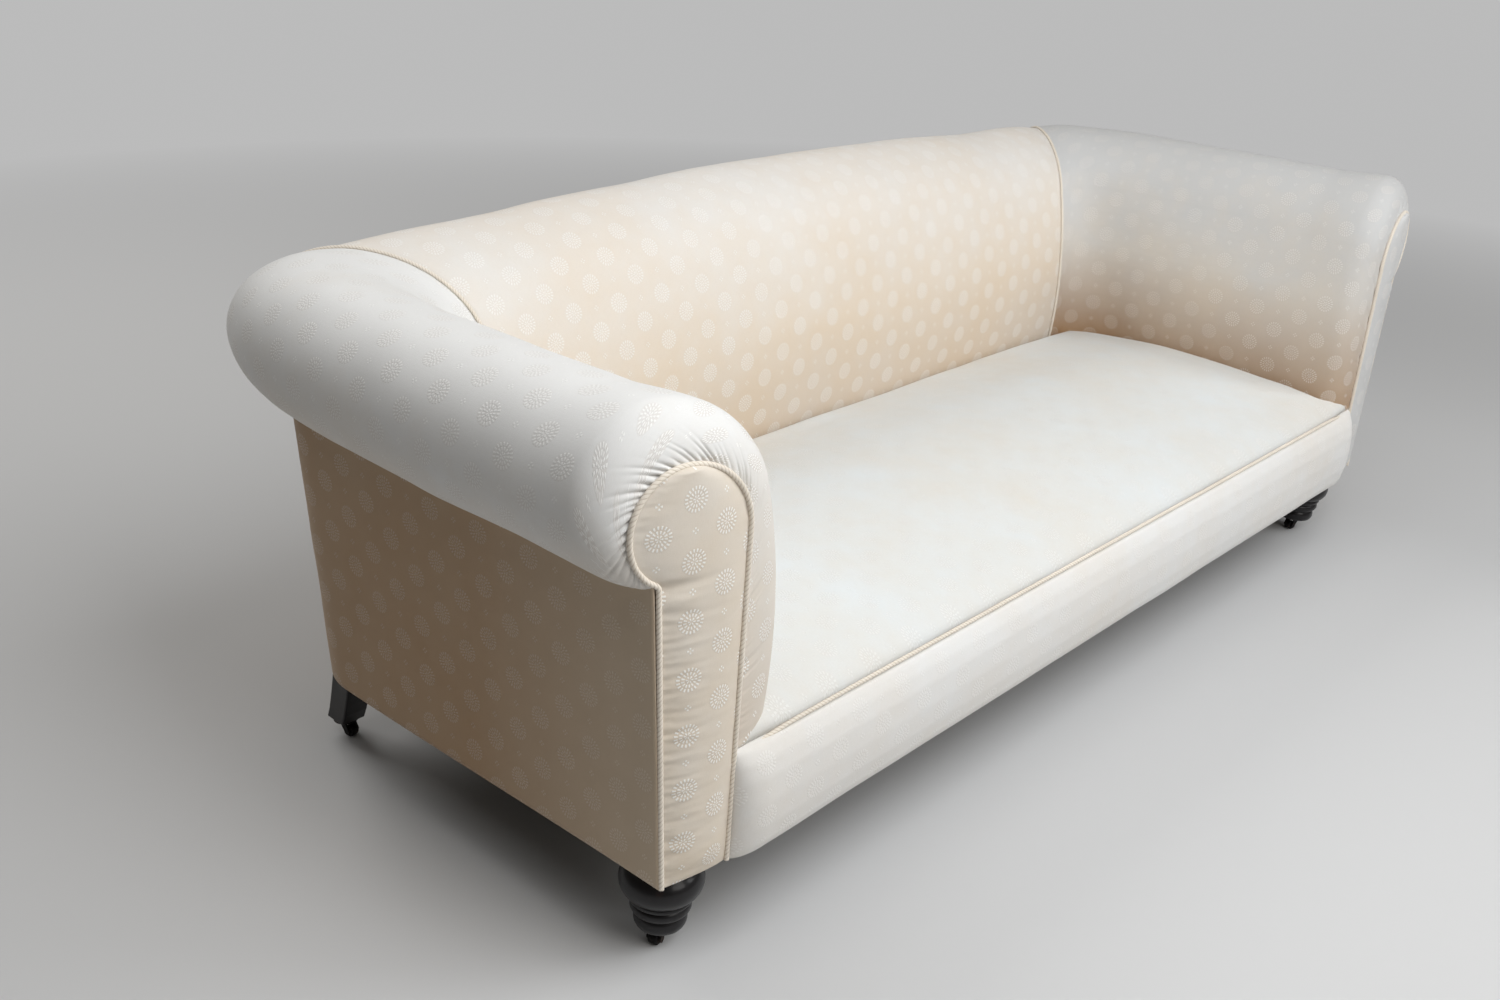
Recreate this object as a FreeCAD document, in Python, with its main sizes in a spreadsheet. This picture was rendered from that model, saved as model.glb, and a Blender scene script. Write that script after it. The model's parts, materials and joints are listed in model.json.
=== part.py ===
import FreeCAD, Part
import math
import os
from collections import namedtuple
from types import SimpleNamespace

Vector = FreeCAD.Vector

# A chesterfield sofa: a beech frame, a sprung and stuffed seat, stuffed arms and back with
# scroll rolls, plain woven covers with corded edges, turned front feet and castors.
# X runs along the sofa, the front faces -Y, Z is up and the floor is Z = 0.
# Millimetres throughout.

# Driving sizes: alias and value.
SIZES = [
    # outside of the body
    ("half_width", 930),         # middle to outside arm, at the base
    ("body_depth", 690),         # front facing to outside back, at the base
    ("outside_lean", 20),        # how far the outside covers lean out by the throat of the roll
    ("corner_radius", 100),      # rounded rear corners of the outside covers
    ("panel", 3),                # outside cover with its lining
    # rolls and pads
    ("roll_radius", 93),
    ("roll_height", 453),        # roll centre above the base
    ("roll_inset", 5),           # roll centre inside the outside arm
    ("back_roll_setback", 22),   # roll centre behind the outside back
    ("back_crown", 22),          # extra height in the middle of the back
    ("shoulder_radius", 140),    # inside shoulder of the roll
    ("belly_depth", 175),        # outside arm to the fullest point of the inside pad
    ("belly_height", 285),
    ("pad_foot_depth", 160),     # outside arm to the foot of the inside pad
    ("pad_bottom", 150),         # foot of the pads above the base
    ("corner_run", 105),         # run in which the arms and back turn to the corner seams
    ("seam_inset_low", 78),      # corner seam in from the inside arm, at the fullest point of the pad
    ("seam_inset_high", 127),    # corner seam in from the crest of the arm
    ("cover", 3),                # cover with its calico
    # rounded front ends of the arms, a little fuller than the arms behind them
    ("puff", 45),                # run in which an arm swells behind its facing
    ("puff_relax", 140),         # where an arm is back to its plain section
    ("puff_inset", 9),           # roll centre inside the outside arm
    ("puff_height", 455),
    ("puff_radius", 97),
    ("puff_shoulder", 150),
    ("puff_belly", 178),         # outside arm to the fullest point of the inside pad
    ("puff_foot", 165),          # outside arm to the foot of the inside pad
    # scroll facings
    ("scroll_radius", 64),
    ("scroll_height", 431),
    ("scroll_inset", 19),        # scroll centre inside the outside arm
    ("facing_shoulder", 86),
    ("facing_width", 100),
    ("facing_setback", 13),      # outer edge of a facing behind its inner edge
    ("facing_thickness", 8.7),
    ("throat_fillet", 9),
    # cords
    ("cord_diameter", 5.6),
    # seat and border
    ("cord_height", 142),        # seat edge above the base
    ("border_bulge", 35),        # front border ahead of the facings
    ("border_foot", 23),         # lower edge of the border ahead of the facings
    ("seat_rise", 38),           # seat edge to the shoulder of the seat
    ("seat_crown", 63),          # seat edge to the crown of the seat
    ("seat_shoulder_run", 44),
    ("seat_side_gap", 14),       # seat edge to the inside pads
    ("seat_rear_corner", 100),
    ("seat_front_corner", 40),
    # frame
    ("rail_thickness", 30),
    ("rail_depth", 75),
    ("rail_clear", 12),          # seat rails inside the outside covers, clear of their corners
    ("post", 40),
    ("post_inset", 19),          # posts inside the outside cover
    ("back_post_inset", 23),
    ("front_post_set", 14),      # front of the posts behind the facing
    ("top_rail_height", 385),
    ("top_rail_depth", 45),
    ("tacking_height", 100),
    ("tacking_depth", 30),
    ("upright_spacing", 700),
    ("block_leg", 70),
    ("block_depth", 40),
    ("brace_spacing", 500),
    ("dowel_diameter", 10),
    ("dowel_length", 30),
    ("dowel_spacing", 24),
    # suspension
    ("webbing", 2.5),
    ("web_width", 50),
    ("spring_column_pitch", 250),
    ("spring_row_pitch", 190),
    ("spring_height", 85),
    ("spring_radius", 40),
    ("spring_waist", 27),
    ("spring_wire", 4),
    ("hessian", 2),
    ("dust_cover", 1.2),
    # feet
    ("foot_height", 108),
    ("foot_radius", 49.5),
    ("foot_ring_radius", 36.5),
    ("foot_inset", 62),          # foot axis inside the outside arm
    ("foot_setback", 60),        # foot axis behind the facing
    ("leg_inset", 46),           # back leg's axis inside the outside arm
    ("leg_setback", 49),         # back leg's axis ahead of the outside back
    ("leg_top", 40),
    ("leg_bottom", 37),
    ("leg_rake", 30),
    # castors
    ("castor_height", 26),
    ("castor_plate", 3),
    ("castor_plate_radius", 17),
    ("castor_wheel_radius", 8.5),
    ("castor_wheel_width", 12),
    ("castor_trail", 10),
    ("castor_pin", 6.5),
    ("castor_axle", 4),
    ("castor_cheek", 3),
    ("castor_disc", 4),
    ("castor_screw", 3),
    ("running_gap", 0.05),
    ("gap", 0.3),
]

doc = FreeCAD.newDocument("sofa")
sheet = doc.addObject("Spreadsheet::Sheet", "Sizes")
for row, (alias, value) in enumerate(SIZES, start=1):
    sheet.set("A%d" % row, alias)
    sheet.set("B%d" % row, str(value))
    sheet.setAlias("B%d" % row, alias)
doc.recompute()
v = SimpleNamespace(**{alias: float(getattr(sheet, alias)) for alias, _ in SIZES})

# Places that several pieces share, as numbers and as the same expressions on the sheet.
base = v.castor_height + v.foot_height
back_reach = v.body_depth + v.back_roll_setback + v.roll_radius
face = (v.border_bulge - back_reach) / 2
mitre = v.half_width - v.roll_inset - v.body_depth - v.back_roll_setback
post_out = v.half_width - v.post_inset
post_in = post_out - v.post
back_frame_out = v.body_depth - v.back_post_inset
back_frame_in = back_frame_out - v.post
rail_top = v.top_rail_height + v.top_rail_depth
cord_radius = v.cord_diameter / 2
BASE = "(Sizes.castor_height + Sizes.foot_height)"
BACK_REACH = "(Sizes.body_depth + Sizes.back_roll_setback + Sizes.roll_radius)"
FACE = "((Sizes.border_bulge - " + BACK_REACH + ") / 2)"
POST_OUT = "(Sizes.half_width - Sizes.post_inset)"
POST_IN = "(Sizes.half_width - Sizes.post_inset - Sizes.post)"
BACK_OUT = "(Sizes.body_depth - Sizes.back_post_inset)"
BACK_IN = "(Sizes.body_depth - Sizes.back_post_inset - Sizes.post)"
SIDES = (("left", -1), ("right", 1))
FACING_MIDDLE = v.half_width - v.facing_width / 2
FACING_TURN = math.atan2(v.facing_setback, v.facing_width)
NODES = []


def keep(thing, label):
    """Name a finished piece and put it on the list of nodes."""
    thing.Label = label
    NODES.append(thing)
    return thing


def feature(label, shape, place=FreeCAD.Placement()):
    """A piece whose shape is worked out from the sheet's values."""
    thing = doc.addObject("Part::Feature", label)
    thing.Shape = shape
    thing.Placement = place
    return keep(thing, label)


def mirrored(shape, side):
    """The right-hand shape, or its mirror image on the left."""
    return shape if side > 0 else shape.mirror(Vector(0, 0, 0), Vector(1, 0, 0))


def point(x, y, z):
    """A point from the middle, behind the facing and above the base."""
    return Vector(x, face + y, base + z)


def arc(start, middle, end):
    return Part.Arc(start, middle, end).toShape()


def line(start, end):
    return Part.LineSegment(start, end).toShape()


def skin_through(wires):
    """A solid that runs straight from each section to the next."""
    return Part.makeLoft(wires, True, True)


def polygon_face(points):
    return Part.Face(Part.makePolygon(points + points[:1]))


# Beech frame

def bar(label, length, width, height, x, y, z):
    """A blank of the frame, its sizes and corner given as expressions on the sheet."""
    blank = doc.addObject("Part::Box", label + "_blank")
    blank.setExpression("Length", length)
    blank.setExpression("Width", width)
    blank.setExpression("Height", height)
    blank.setExpression("Placement.Base.x", x)
    blank.setExpression("Placement.Base.y", FACE + " + " + y)
    blank.setExpression("Placement.Base.z", BASE + " + " + z)
    return blank


def dowel_list():
    """Middle and direction of the dowels in each joint between rails and posts."""
    found = []
    across = Vector(1, 0, 0)
    along = Vector(0, 1, 0)
    up = Vector(0, 0, 1)
    front_rail_y = v.front_post_set + v.rail_thickness / 2
    back_rail_y = v.body_depth - v.panel - v.rail_clear - v.rail_thickness + v.dowel_diameter
    top_rail_y = back_frame_in + v.post / 2
    end_rail_x = post_out - v.dowel_diameter * 1.3
    post_x = post_out - v.post / 2
    for side in (-1, 1):
        for step in (-0.5, 0.5):
            rail_z = v.rail_depth / 2 + step * v.dowel_spacing
            lower_z = rail_z + v.dowel_diameter * step
            top_z = v.top_rail_height + v.top_rail_depth / 2 + step * v.dowel_spacing
            found.append((point(side * post_in, front_rail_y, rail_z), across))
            found.append((point(side * post_in, back_rail_y, rail_z), across))
            found.append((point(side * end_rail_x, v.front_post_set + v.post, lower_z), along))
            found.append((point(side * end_rail_x, back_frame_in, lower_z), along))
            found.append((point(side * post_in, top_rail_y, top_z), across))
        for post_y in (v.front_post_set + v.post / 2, top_rail_y):
            found.append((point(side * post_x, post_y, v.top_rail_height), up))
    return found


def dowel_solids(extra):
    """Every dowel, or every dowel hole when extra room is asked for."""
    radius = v.dowel_diameter / 2 + extra
    length = v.dowel_length + 2 * extra
    return [Part.makeCylinder(radius, length, middle - axis * (length / 2), axis)
            for middle, axis in dowel_list()]


def build_frame():
    holes = doc.addObject("Part::Feature", "dowel_holes")
    holes.Shape = Part.makeCompound(dowel_solids(v.running_gap))

    def drilled(label, blank):
        cut = doc.addObject("Part::Cut", label)
        cut.Base = blank
        cut.Tool = holes
        keep(cut, label)

    span = "2 * " + POST_IN
    depth = "Sizes.rail_depth"
    thick = "Sizes.rail_thickness"
    back_rail_y = "(Sizes.body_depth - Sizes.panel - Sizes.rail_clear - Sizes.rail_thickness)"
    drilled("front_seat_rail", bar("front_seat_rail", span, thick, depth, "-" + POST_IN,
                                   "Sizes.front_post_set", "0"))
    drilled("back_seat_rail", bar("back_seat_rail", span, thick, depth, "-" + POST_IN, back_rail_y, "0"))
    drilled("back_top_rail", bar("back_top_rail", span, "Sizes.post", "Sizes.top_rail_depth",
                                 "-" + POST_IN, BACK_IN, "Sizes.top_rail_height"))
    end_length = BACK_IN + " - Sizes.front_post_set - Sizes.post"
    end_y = "(Sizes.front_post_set + Sizes.post)"
    end_out = "(Sizes.half_width - Sizes.panel - Sizes.rail_clear)"
    arm_length = BACK_OUT + " - Sizes.front_post_set"
    for name, side in SIDES:
        end_x = end_out + " - Sizes.rail_thickness" if side > 0 else "-" + end_out
        post_x = POST_IN if side > 0 else "-" + POST_OUT
        drilled(name + "_end_rail", bar(name + "_end_rail", thick, end_length, depth, end_x, end_y, "0"))
        drilled(name + "_arm_rail", bar(name + "_arm_rail", "Sizes.post", arm_length,
                                        "Sizes.top_rail_depth", post_x, "Sizes.front_post_set",
                                        "Sizes.top_rail_height"))
        drilled(name + "_front_post", bar(name + "_front_post", "Sizes.post", "Sizes.post",
                                          "Sizes.top_rail_height", post_x, "Sizes.front_post_set", "0"))
        square = bar(name + "_back_post", "Sizes.post", "Sizes.post", "Sizes.top_rail_height",
                     post_x, BACK_IN, "0")
        doc.recompute()
        rounded = doc.addObject("Part::Fillet", name + "_back_post_rounded")
        rounded.Base = square
        outer = [number for number, edge in enumerate(square.Shape.Edges, start=1)
                 if edge.BoundBox.ZLength > v.post
                 and side * edge.CenterOfMass.x > post_in + v.post / 2
                 and edge.CenterOfMass.y > face + back_frame_in + v.post / 2]
        corner = v.post * 0.95
        rounded.Edges = [(number, corner, corner) for number in outer]
        drilled(name + "_back_post", rounded)
    feature("frame_dowels", Part.makeCompound(dowel_solids(0)))
    build_blocks()
    build_small_rails()


def build_blocks():
    """Corner blocks and cross braces of the seat frame."""
    front_y = v.front_post_set + v.rail_thickness
    rear_y = v.body_depth - v.panel - v.rail_clear - v.rail_thickness
    blocks = []
    low = (v.rail_depth - v.block_depth) / 2
    for side in (-1, 1):
        for corner_y, way in ((front_y, 1), (rear_y, -1)):
            corner = point(side * post_in, corner_y, low)
            ends = [corner, corner + Vector(0, way * v.block_leg, 0),
                    corner - Vector(side * v.block_leg, 0, 0)]
            blocks.append(polygon_face(ends).extrude(Vector(0, 0, v.block_depth)))
    feature("seat_corner_blocks", Part.makeCompound(blocks))
    braces = []
    for side in (-1, 1):
        start = point(side * v.brace_spacing / 2 - v.rail_thickness / 2, front_y, 0)
        braces.append(Part.makeBox(v.rail_thickness, rear_y - front_y, v.block_depth, start))
    feature("seat_cross_braces", Part.makeCompound(braces))


def build_small_rails():
    """Tacking rails of the arms and back, and the uprights of the back."""
    arm_y = v.front_post_set + v.post
    rails = []
    for side in (-1, 1):
        x = post_in if side > 0 else -post_out
        start = point(x, arm_y, v.tacking_height)
        rails.append(Part.makeBox(v.post, back_frame_in - arm_y, v.tacking_depth, start))
    back_start = point(-post_in, back_frame_in, v.tacking_height)
    rails.append(Part.makeBox(2 * post_in, v.rail_thickness, v.tacking_depth, back_start))
    feature("tacking_rails", Part.makeCompound(rails))
    uprights = []
    foot = v.tacking_height + v.tacking_depth
    for side in (-1, 1):
        start = point(side * v.upright_spacing / 2 - v.post / 2, back_frame_in, foot)
        uprights.append(Part.makeBox(v.post, v.rail_thickness, v.top_rail_height - foot, start))
    feature("back_uprights", Part.makeCompound(uprights))


# Webbing, springs and hessian

def build_webbing():
    half = v.web_width / 2
    rows = spring_rows()
    rail_end = v.half_width - v.panel - v.rail_clear
    rear_end = v.body_depth - v.panel - v.rail_clear
    straps = []
    for y in rows:
        start = point(-rail_end, y - half, -v.webbing)
        straps.append(Part.makeBox(2 * rail_end, v.web_width, v.webbing, start))
    for x in spring_columns():
        run = rear_end - v.front_post_set
        straps.append(Part.makeBox(v.web_width, run, v.webbing,
                                   point(x - half, v.front_post_set, -2 * v.webbing)))
    feature("seat_webbing", Part.makeCompound(straps))
    sides = []
    height = rail_top - v.tacking_height
    for y in rows:
        for x in (post_in - v.webbing, -post_in):
            sides.append(Part.makeBox(v.webbing, v.web_width, height, point(x, y - half, v.tacking_height)))
    for x in spring_columns():
        sides.append(Part.makeBox(v.web_width, v.webbing, height,
                                  point(x - half, back_frame_in - v.webbing, v.tacking_height)))
    feature("side_webbing", Part.makeCompound(sides))


def spring_columns():
    return [v.spring_column_pitch * (step + 0.5) for step in range(-3, 3)]


def spring_rows():
    middle = (v.front_post_set + back_frame_in) / 2
    return [middle + v.spring_row_pitch * step for step in (-1, 0, 1)]


def biarc(start, start_way, end, end_way):
    """Two arcs that join two points smoothly, leaving and arriving along the given directions."""
    step = end - start
    ways = start_way + end_way
    spread = 2 * (1 - start_way.dot(end_way))
    reach = step.dot(ways)
    if spread < 1e-9:
        run = step.dot(step) / (2 * reach)
    else:
        run = (math.sqrt(reach * reach + spread * step.dot(step)) - reach) / spread
    joint = (start + start_way * run + end - end_way * run) * 0.5
    return [tangent_arc(start, start_way, joint), tangent_arc(end, end_way * -1, joint, True)]


def tangent_arc(start, way, end, backwards=False):
    """The arc that leaves start along way and reaches end, or a line where it is straight."""
    chord = end - start
    off = chord - way * chord.dot(way)
    if off.Length < 1e-6 * chord.Length:
        return line(end, start) if backwards else line(start, end)
    radius = chord.dot(chord) / (2 * off.Length)
    centre = start + off.normalize() * radius
    middle = centre + ((start - centre) + (end - centre)).normalize() * radius
    return arc(end, middle, start) if backwards else arc(start, middle, end)


def smooth_wire(points, ways):
    edges = []
    for number in range(len(points) - 1):
        edges += biarc(points[number], ways[number], points[number + 1], ways[number + 1])
    return Part.Wire(edges)


def tube(path, radius, start, way):
    """A round tube along a path."""
    ring = Part.Wire(Part.makeCircle(radius, start, way))
    return path.makePipeShell([ring], True, False)


TURNS = 4
STEPS = 4


def spring_solid(x, y):
    """An hourglass coil that stands on the webbing."""
    wire = v.spring_wire / 2
    rise = v.spring_height - v.spring_wire - 2 * v.gap
    count = TURNS * STEPS
    points = []
    ways = []
    for step in range(count + 1):
        share = step / count
        angle = 2 * math.pi * step / STEPS
        swell = (2 * share - 1) ** 2
        radius = v.spring_waist + (v.spring_radius - v.spring_waist) * swell
        growth = 4 * (v.spring_radius - v.spring_waist) * (2 * share - 1) / (2 * math.pi * TURNS)
        out = Vector(math.cos(angle), math.sin(angle), 0)
        around = Vector(-math.sin(angle), math.cos(angle), 0)
        points.append(point(x, y, wire + v.gap + rise * share) + out * radius)
        climb = Vector(0, 0, rise / (2 * math.pi * TURNS))
        ways.append((around * radius + out * growth + climb).normalize())
    return tube(smooth_wire(points, ways), wire, points[0], ways[0])


def build_suspension():
    build_webbing()
    springs = [spring_solid(x, y) for x in spring_columns() for y in spring_rows()]
    feature("seat_springs", Part.makeCompound(springs))
    half = post_in - v.webbing - v.gap
    start = point(-half, v.front_post_set, v.spring_height)
    run = back_frame_in - v.webbing - v.gap - v.front_post_set
    feature("spring_hessian", Part.makeBox(2 * half, run, v.hessian, start))
    build_dust_cover()


def build_dust_cover():
    """The black cloth below the seat, cut away round the feet."""
    out = post_out
    inner = v.half_width - v.foot_inset - v.foot_radius - v.rail_thickness / 2
    front = v.front_post_set
    front_in = v.foot_setback + v.foot_radius + v.gap
    rear = back_frame_out
    rear_in = back_frame_in - v.post
    right = [(inner, front), (inner, front_in), (out, front_in), (out, rear_in),
             (inner, rear_in), (inner, rear)]
    outline = right + [(-x, y) for x, y in reversed(right)]
    low = -2 * v.webbing - v.gap - v.dust_cover
    sheet_face = polygon_face([point(x, y, low) for x, y in outline])
    feature("dust_cover", sheet_face.extrude(Vector(0, 0, v.dust_cover)))


# Stuffed arms and back. A section runs from the foot of the inside pad, over its belly and
# shoulder, round the roll and in to the throat.

Roll = namedtuple("Roll", "centre height radius shoulder belly foot")
SWELL_STEPS = 5
CORNER_STEPS = (0.2, 0.4, 0.6, 0.8, 1)
SEAM_STEPS = (0.5, 0.8, 1)
BACK_STEPS = 4
CORD_SET = 1.5
SHOULDER_END = math.radians(160)
THROAT = math.radians(-75)


def arm_roll():
    return Roll(v.half_width - v.roll_inset, v.roll_height, v.roll_radius, v.shoulder_radius,
                v.half_width - v.belly_depth, v.half_width - v.pad_foot_depth)


def facing_roll():
    """The roll as it starts, just outside the facing's cord."""
    inner = v.half_width - v.facing_width - cord_radius
    return Roll(v.half_width - v.scroll_inset, v.scroll_height, v.scroll_radius + cord_radius,
                v.facing_shoulder + cord_radius, inner, inner)


def puffed_roll():
    """The roll at its fullest, just behind the facing."""
    return Roll(v.half_width - v.puff_inset, v.puff_height, v.puff_radius, v.puff_shoulder,
                v.half_width - v.puff_belly, v.half_width - v.puff_foot)


def blend(first, second, share):
    return Roll(*(a + (b - a) * share for a, b in zip(first, second)))


def roll_curve(roll, inset):
    """Points along the section's outer line: ends and middles of its arcs, in turn."""
    radius = roll.radius - inset
    shoulder = roll.shoulder - inset
    shoulder_height = roll.height + roll.radius - roll.shoulder

    def around(size, height, angle):
        return (roll.centre + size * math.cos(angle), height + size * math.sin(angle))

    top = math.pi / 2
    points = [(roll.foot + inset, v.pad_bottom), (roll.belly + inset, v.belly_height)]
    for step in range(5):
        points.append(around(shoulder, shoulder_height, SHOULDER_END + (top - SHOULDER_END) * step / 4))
    for step in range(1, 9):
        points.append(around(radius, roll.height, top + (THROAT - top) * step / 8))
    return points


def arcs_through(points):
    return [arc(*points[number:number + 3]) for number in range(0, len(points) - 1, 2)]


def cover_section(place, roll):
    """The cover: a band along the section's outer line."""
    outer = [place(*spot) for spot in roll_curve(roll, 0)]
    inner = [place(*spot) for spot in reversed(roll_curve(roll, v.cover))]
    edges = arcs_through(outer) + [line(outer[-1], inner[0])]
    return Part.Wire(edges + arcs_through(inner) + [line(inner[-1], outer[0])])


def stuffing_section(place, roll):
    """The stuffing inside the cover, closed straight down from the throat."""
    curve = roll_curve(roll, v.cover + v.gap)
    outer = [place(*spot) for spot in curve]
    corners = [outer[-1], place(curve[-1][0], v.pad_bottom), outer[0]]
    return Part.Wire(arcs_through(outer) + [line(a, b) for a, b in zip(corners, corners[1:])])


def arm_place(y):
    """Where a section of the right arm lies. The first is turned with the facing, the later ones less."""
    share = min(max((y - arm_front()) / (v.puff_relax - arm_front()), 0), 1)
    turn = math.tan(FACING_TURN) * (1 - share * share * (3 - 2 * share))
    return lambda u, z: point(u, y + turn * (u - FACING_MIDDLE), z)


def arm_front():
    """Where the arm's cover starts, behind the facing."""
    return v.facing_thickness - cord_radius - CORD_SET + v.gap


def back_place(x):
    return lambda u, z: point(x, u - mitre, z)


def seam_x(u):
    """The corner seam's distance from the middle of the sofa."""
    full = arm_roll()
    low = full.belly - v.seam_inset_low
    high = full.centre - v.seam_inset_high
    return low + (u - full.belly) * (high - low) / (full.centre - full.belly)


def drawn_roll(share):
    """The roll near a corner seam, drawn in so that the cord is flush: 0 away from it, 1 at the seam."""
    full = arm_roll()
    return full._replace(radius=full.radius - (v.cord_diameter + 3 * v.gap) * share ** 4)


def plain_end():
    """Where the right arm starts to turn into its rear corner."""
    return arm_roll().belly - mitre - v.corner_run


def plain_side():
    """Where the back starts to slant to its right corner seam."""
    return seam_x(arm_roll().belly) - v.corner_run


def arm_corner_place(share):
    """A section of the right arm on its way round the corner: 0 where it starts to turn, 1 at the seam."""
    def place(u, z):
        x = u + share * share * (seam_x(u) - u) + v.gap * share
        return point(x, u - mitre - (1 - share) ** 2 * (u - mitre - plain_end()), z)
    return place


def back_corner_place(side, share):
    def place(u, z):
        x = plain_side() + share * (seam_x(u) - plain_side()) - v.gap * share
        return point(side * x, u - mitre, z)
    return place


def arm_stations():
    """Sections of the right arm from its facing to the corner seam."""
    full = arm_roll()
    puffed = puffed_roll()
    front = arm_front()
    swelling = []
    for step in range(SWELL_STEPS):
        turn = math.radians(8) + math.radians(82) * step / SWELL_STEPS
        run = (v.puff - front) * (1 - math.cos(turn))
        swelling.append((arm_place(front + run), blend(facing_roll(), puffed, math.sin(turn))))
    halfway = (v.puff + v.puff_relax) / 2
    plain = [(arm_place(v.puff), puffed), (arm_place(halfway), blend(puffed, full, 0.5)),
             (arm_place(v.puff_relax), full), (arm_place(plain_end()), full)]
    return swelling + plain + [(arm_corner_place(share), drawn_roll(share)) for share in CORNER_STEPS]


def back_stations():
    """Sections of the back from its left corner seam to its right one."""
    full = arm_roll()
    middle = []
    for step in range(-BACK_STEPS, BACK_STEPS + 1):
        share = step / BACK_STEPS
        rise = v.back_crown * (1 - share * share * 0.75)
        middle.append((back_place(plain_side() * share), full._replace(height=full.height + rise)))
    left = []
    right = []
    for share in SEAM_STEPS:
        rise = v.back_crown * 0.25 * (1 - share)
        roll = drawn_roll(share)._replace(height=full.height + rise)
        left.insert(0, (back_corner_place(-1, share), roll))
        right.append((back_corner_place(1, share), roll))
    return left + middle + right


def frame_room():
    """Room for the frame and its webbing, which the stuffing of the arms and back goes round."""
    low = -v.gap
    throat = roll_curve(arm_roll(), v.cover + v.gap)[-1][1]
    rail = rail_top + v.gap
    arm_in = post_in - v.webbing - v.gap
    back_in = back_frame_in - v.webbing - v.gap
    far = v.half_width * 2
    rooms = []
    for side in (-1, 1):
        for out, top in ((post_out + v.gap, rail), (far, throat)):
            start = point(arm_in if side > 0 else -out, -far, low)
            rooms.append(Part.makeBox(out - arm_in, far + back_frame_out + v.gap, top - low, start))
    for out, top in ((back_frame_out + v.gap, rail), (far, throat)):
        rooms.append(Part.makeBox(2 * far, out - back_in, top - low, point(-far, back_in, low)))
    return rooms


def build_pads():
    rooms = frame_room()
    stations = arm_stations()
    arm_stuffing = skin_through([stuffing_section(place, roll) for place, roll in stations]).cut(rooms)
    arm_cover = skin_through([cover_section(place, roll) for place, roll in stations])
    for name, side in SIDES:
        feature(name + "_arm_stuffing", mirrored(arm_stuffing, side))
        feature(name + "_inside_arm_cover", mirrored(arm_cover, side))
    stations = back_stations()
    back_stuffing = skin_through([stuffing_section(place, roll) for place, roll in stations])
    feature("back_stuffing", back_stuffing.cut(rooms))
    feature("inside_back_cover", skin_through([cover_section(place, roll) for place, roll in stations]))
    build_corner_cords()


def build_corner_cords():
    """A cord over each corner seam, just proud of the covers."""
    curve = roll_curve(drawn_roll(1), -cord_radius - 3 * v.gap)
    points = [point(seam_x(u), u - mitre, z) for u, z in curve]
    ways = directions(points)
    cord = tube(smooth_wire(points, ways), cord_radius, points[0], ways[0])
    for name, side in SIDES:
        feature(name + "_corner_cord", mirrored(cord, side))


def directions(points):
    """The way a smooth line runs at each of its points."""
    ways = []
    for before, here, after in zip(points, points[1:], points[2:]):
        first = here - before
        second = after - here
        way = first * (second.Length / first.Length) + second * (first.Length / second.Length)
        ways.append(way.normalize())
    start = (points[1] - points[0]).normalize()
    end = (points[-1] - points[-2]).normalize()
    start_way = start * (2 * start.dot(ways[0])) - ways[0]
    end_way = end * (2 * end.dot(ways[-1])) - ways[-1]
    return [start_way] + ways + [end_way]


# Scroll facings and their cords

def facing_outline(inset, y):
    """The facing's edges from its outer foot, round the scroll, to its inner foot."""
    scroll_x = v.half_width - v.scroll_inset
    radius = v.scroll_radius - inset
    fillet = v.throat_fillet + inset
    shoulder = v.facing_shoulder - inset
    shoulder_z = v.scroll_height + v.scroll_radius - v.facing_shoulder
    lean = v.outside_lean / v.scroll_height
    slope = math.hypot(1, lean)
    foot_x = v.half_width - cord_radius - inset * slope
    # centre of the throat's fillet: off the outer edge and off the scroll
    edge_x = foot_x + fillet * slope - scroll_x
    first = 1 + lean * lean
    second = 2 * (lean * edge_x - v.scroll_height)
    third = edge_x ** 2 + v.scroll_height ** 2 - (radius + fillet) ** 2
    throat_z = (-second - math.sqrt(second ** 2 - 4 * first * third)) / (2 * first)
    throat_x = foot_x + lean * throat_z + fillet * slope
    # where the inner edge, from its foot, touches the shoulder
    inner_x = v.half_width - v.facing_width + inset
    away = math.hypot(scroll_x - inner_x, shoulder_z)
    turn = math.pi + math.atan2(shoulder_z, scroll_x - inner_x) - math.acos(shoulder / away)

    def spot(centre_x, centre_z, size, angle):
        return point(centre_x + size * math.cos(angle), y, centre_z + size * math.sin(angle))

    down = math.atan2(throat_z - v.scroll_height, throat_x - scroll_x)
    leave = math.pi - math.atan(lean)
    rejoin = down + math.pi
    top = math.pi / 2
    edges = [
        line(point(foot_x, y, 0), spot(throat_x, throat_z, fillet, leave)),
        arc(spot(throat_x, throat_z, fillet, leave), spot(throat_x, throat_z, fillet, (leave + rejoin) / 2),
            spot(throat_x, throat_z, fillet, rejoin)),
        arc(spot(scroll_x, v.scroll_height, radius, down),
            spot(scroll_x, v.scroll_height, radius, (down + top) / 2),
            spot(scroll_x, v.scroll_height, radius, top)),
        arc(spot(scroll_x, shoulder_z, shoulder, top), spot(scroll_x, shoulder_z, shoulder, (top + turn) / 2),
            spot(scroll_x, shoulder_z, shoulder, turn)),
        line(spot(scroll_x, shoulder_z, shoulder, turn), point(inner_x, y, 0)),
    ]
    return edges


def facing_place(side):
    """Where a facing and its cord stand, the outer edge turned back."""
    turn = FreeCAD.Rotation(Vector(0, 0, 1), side * math.degrees(FACING_TURN))
    return FreeCAD.Placement(Vector(0, 0, 0), turn, point(side * FACING_MIDDLE, 0, 0))


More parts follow.
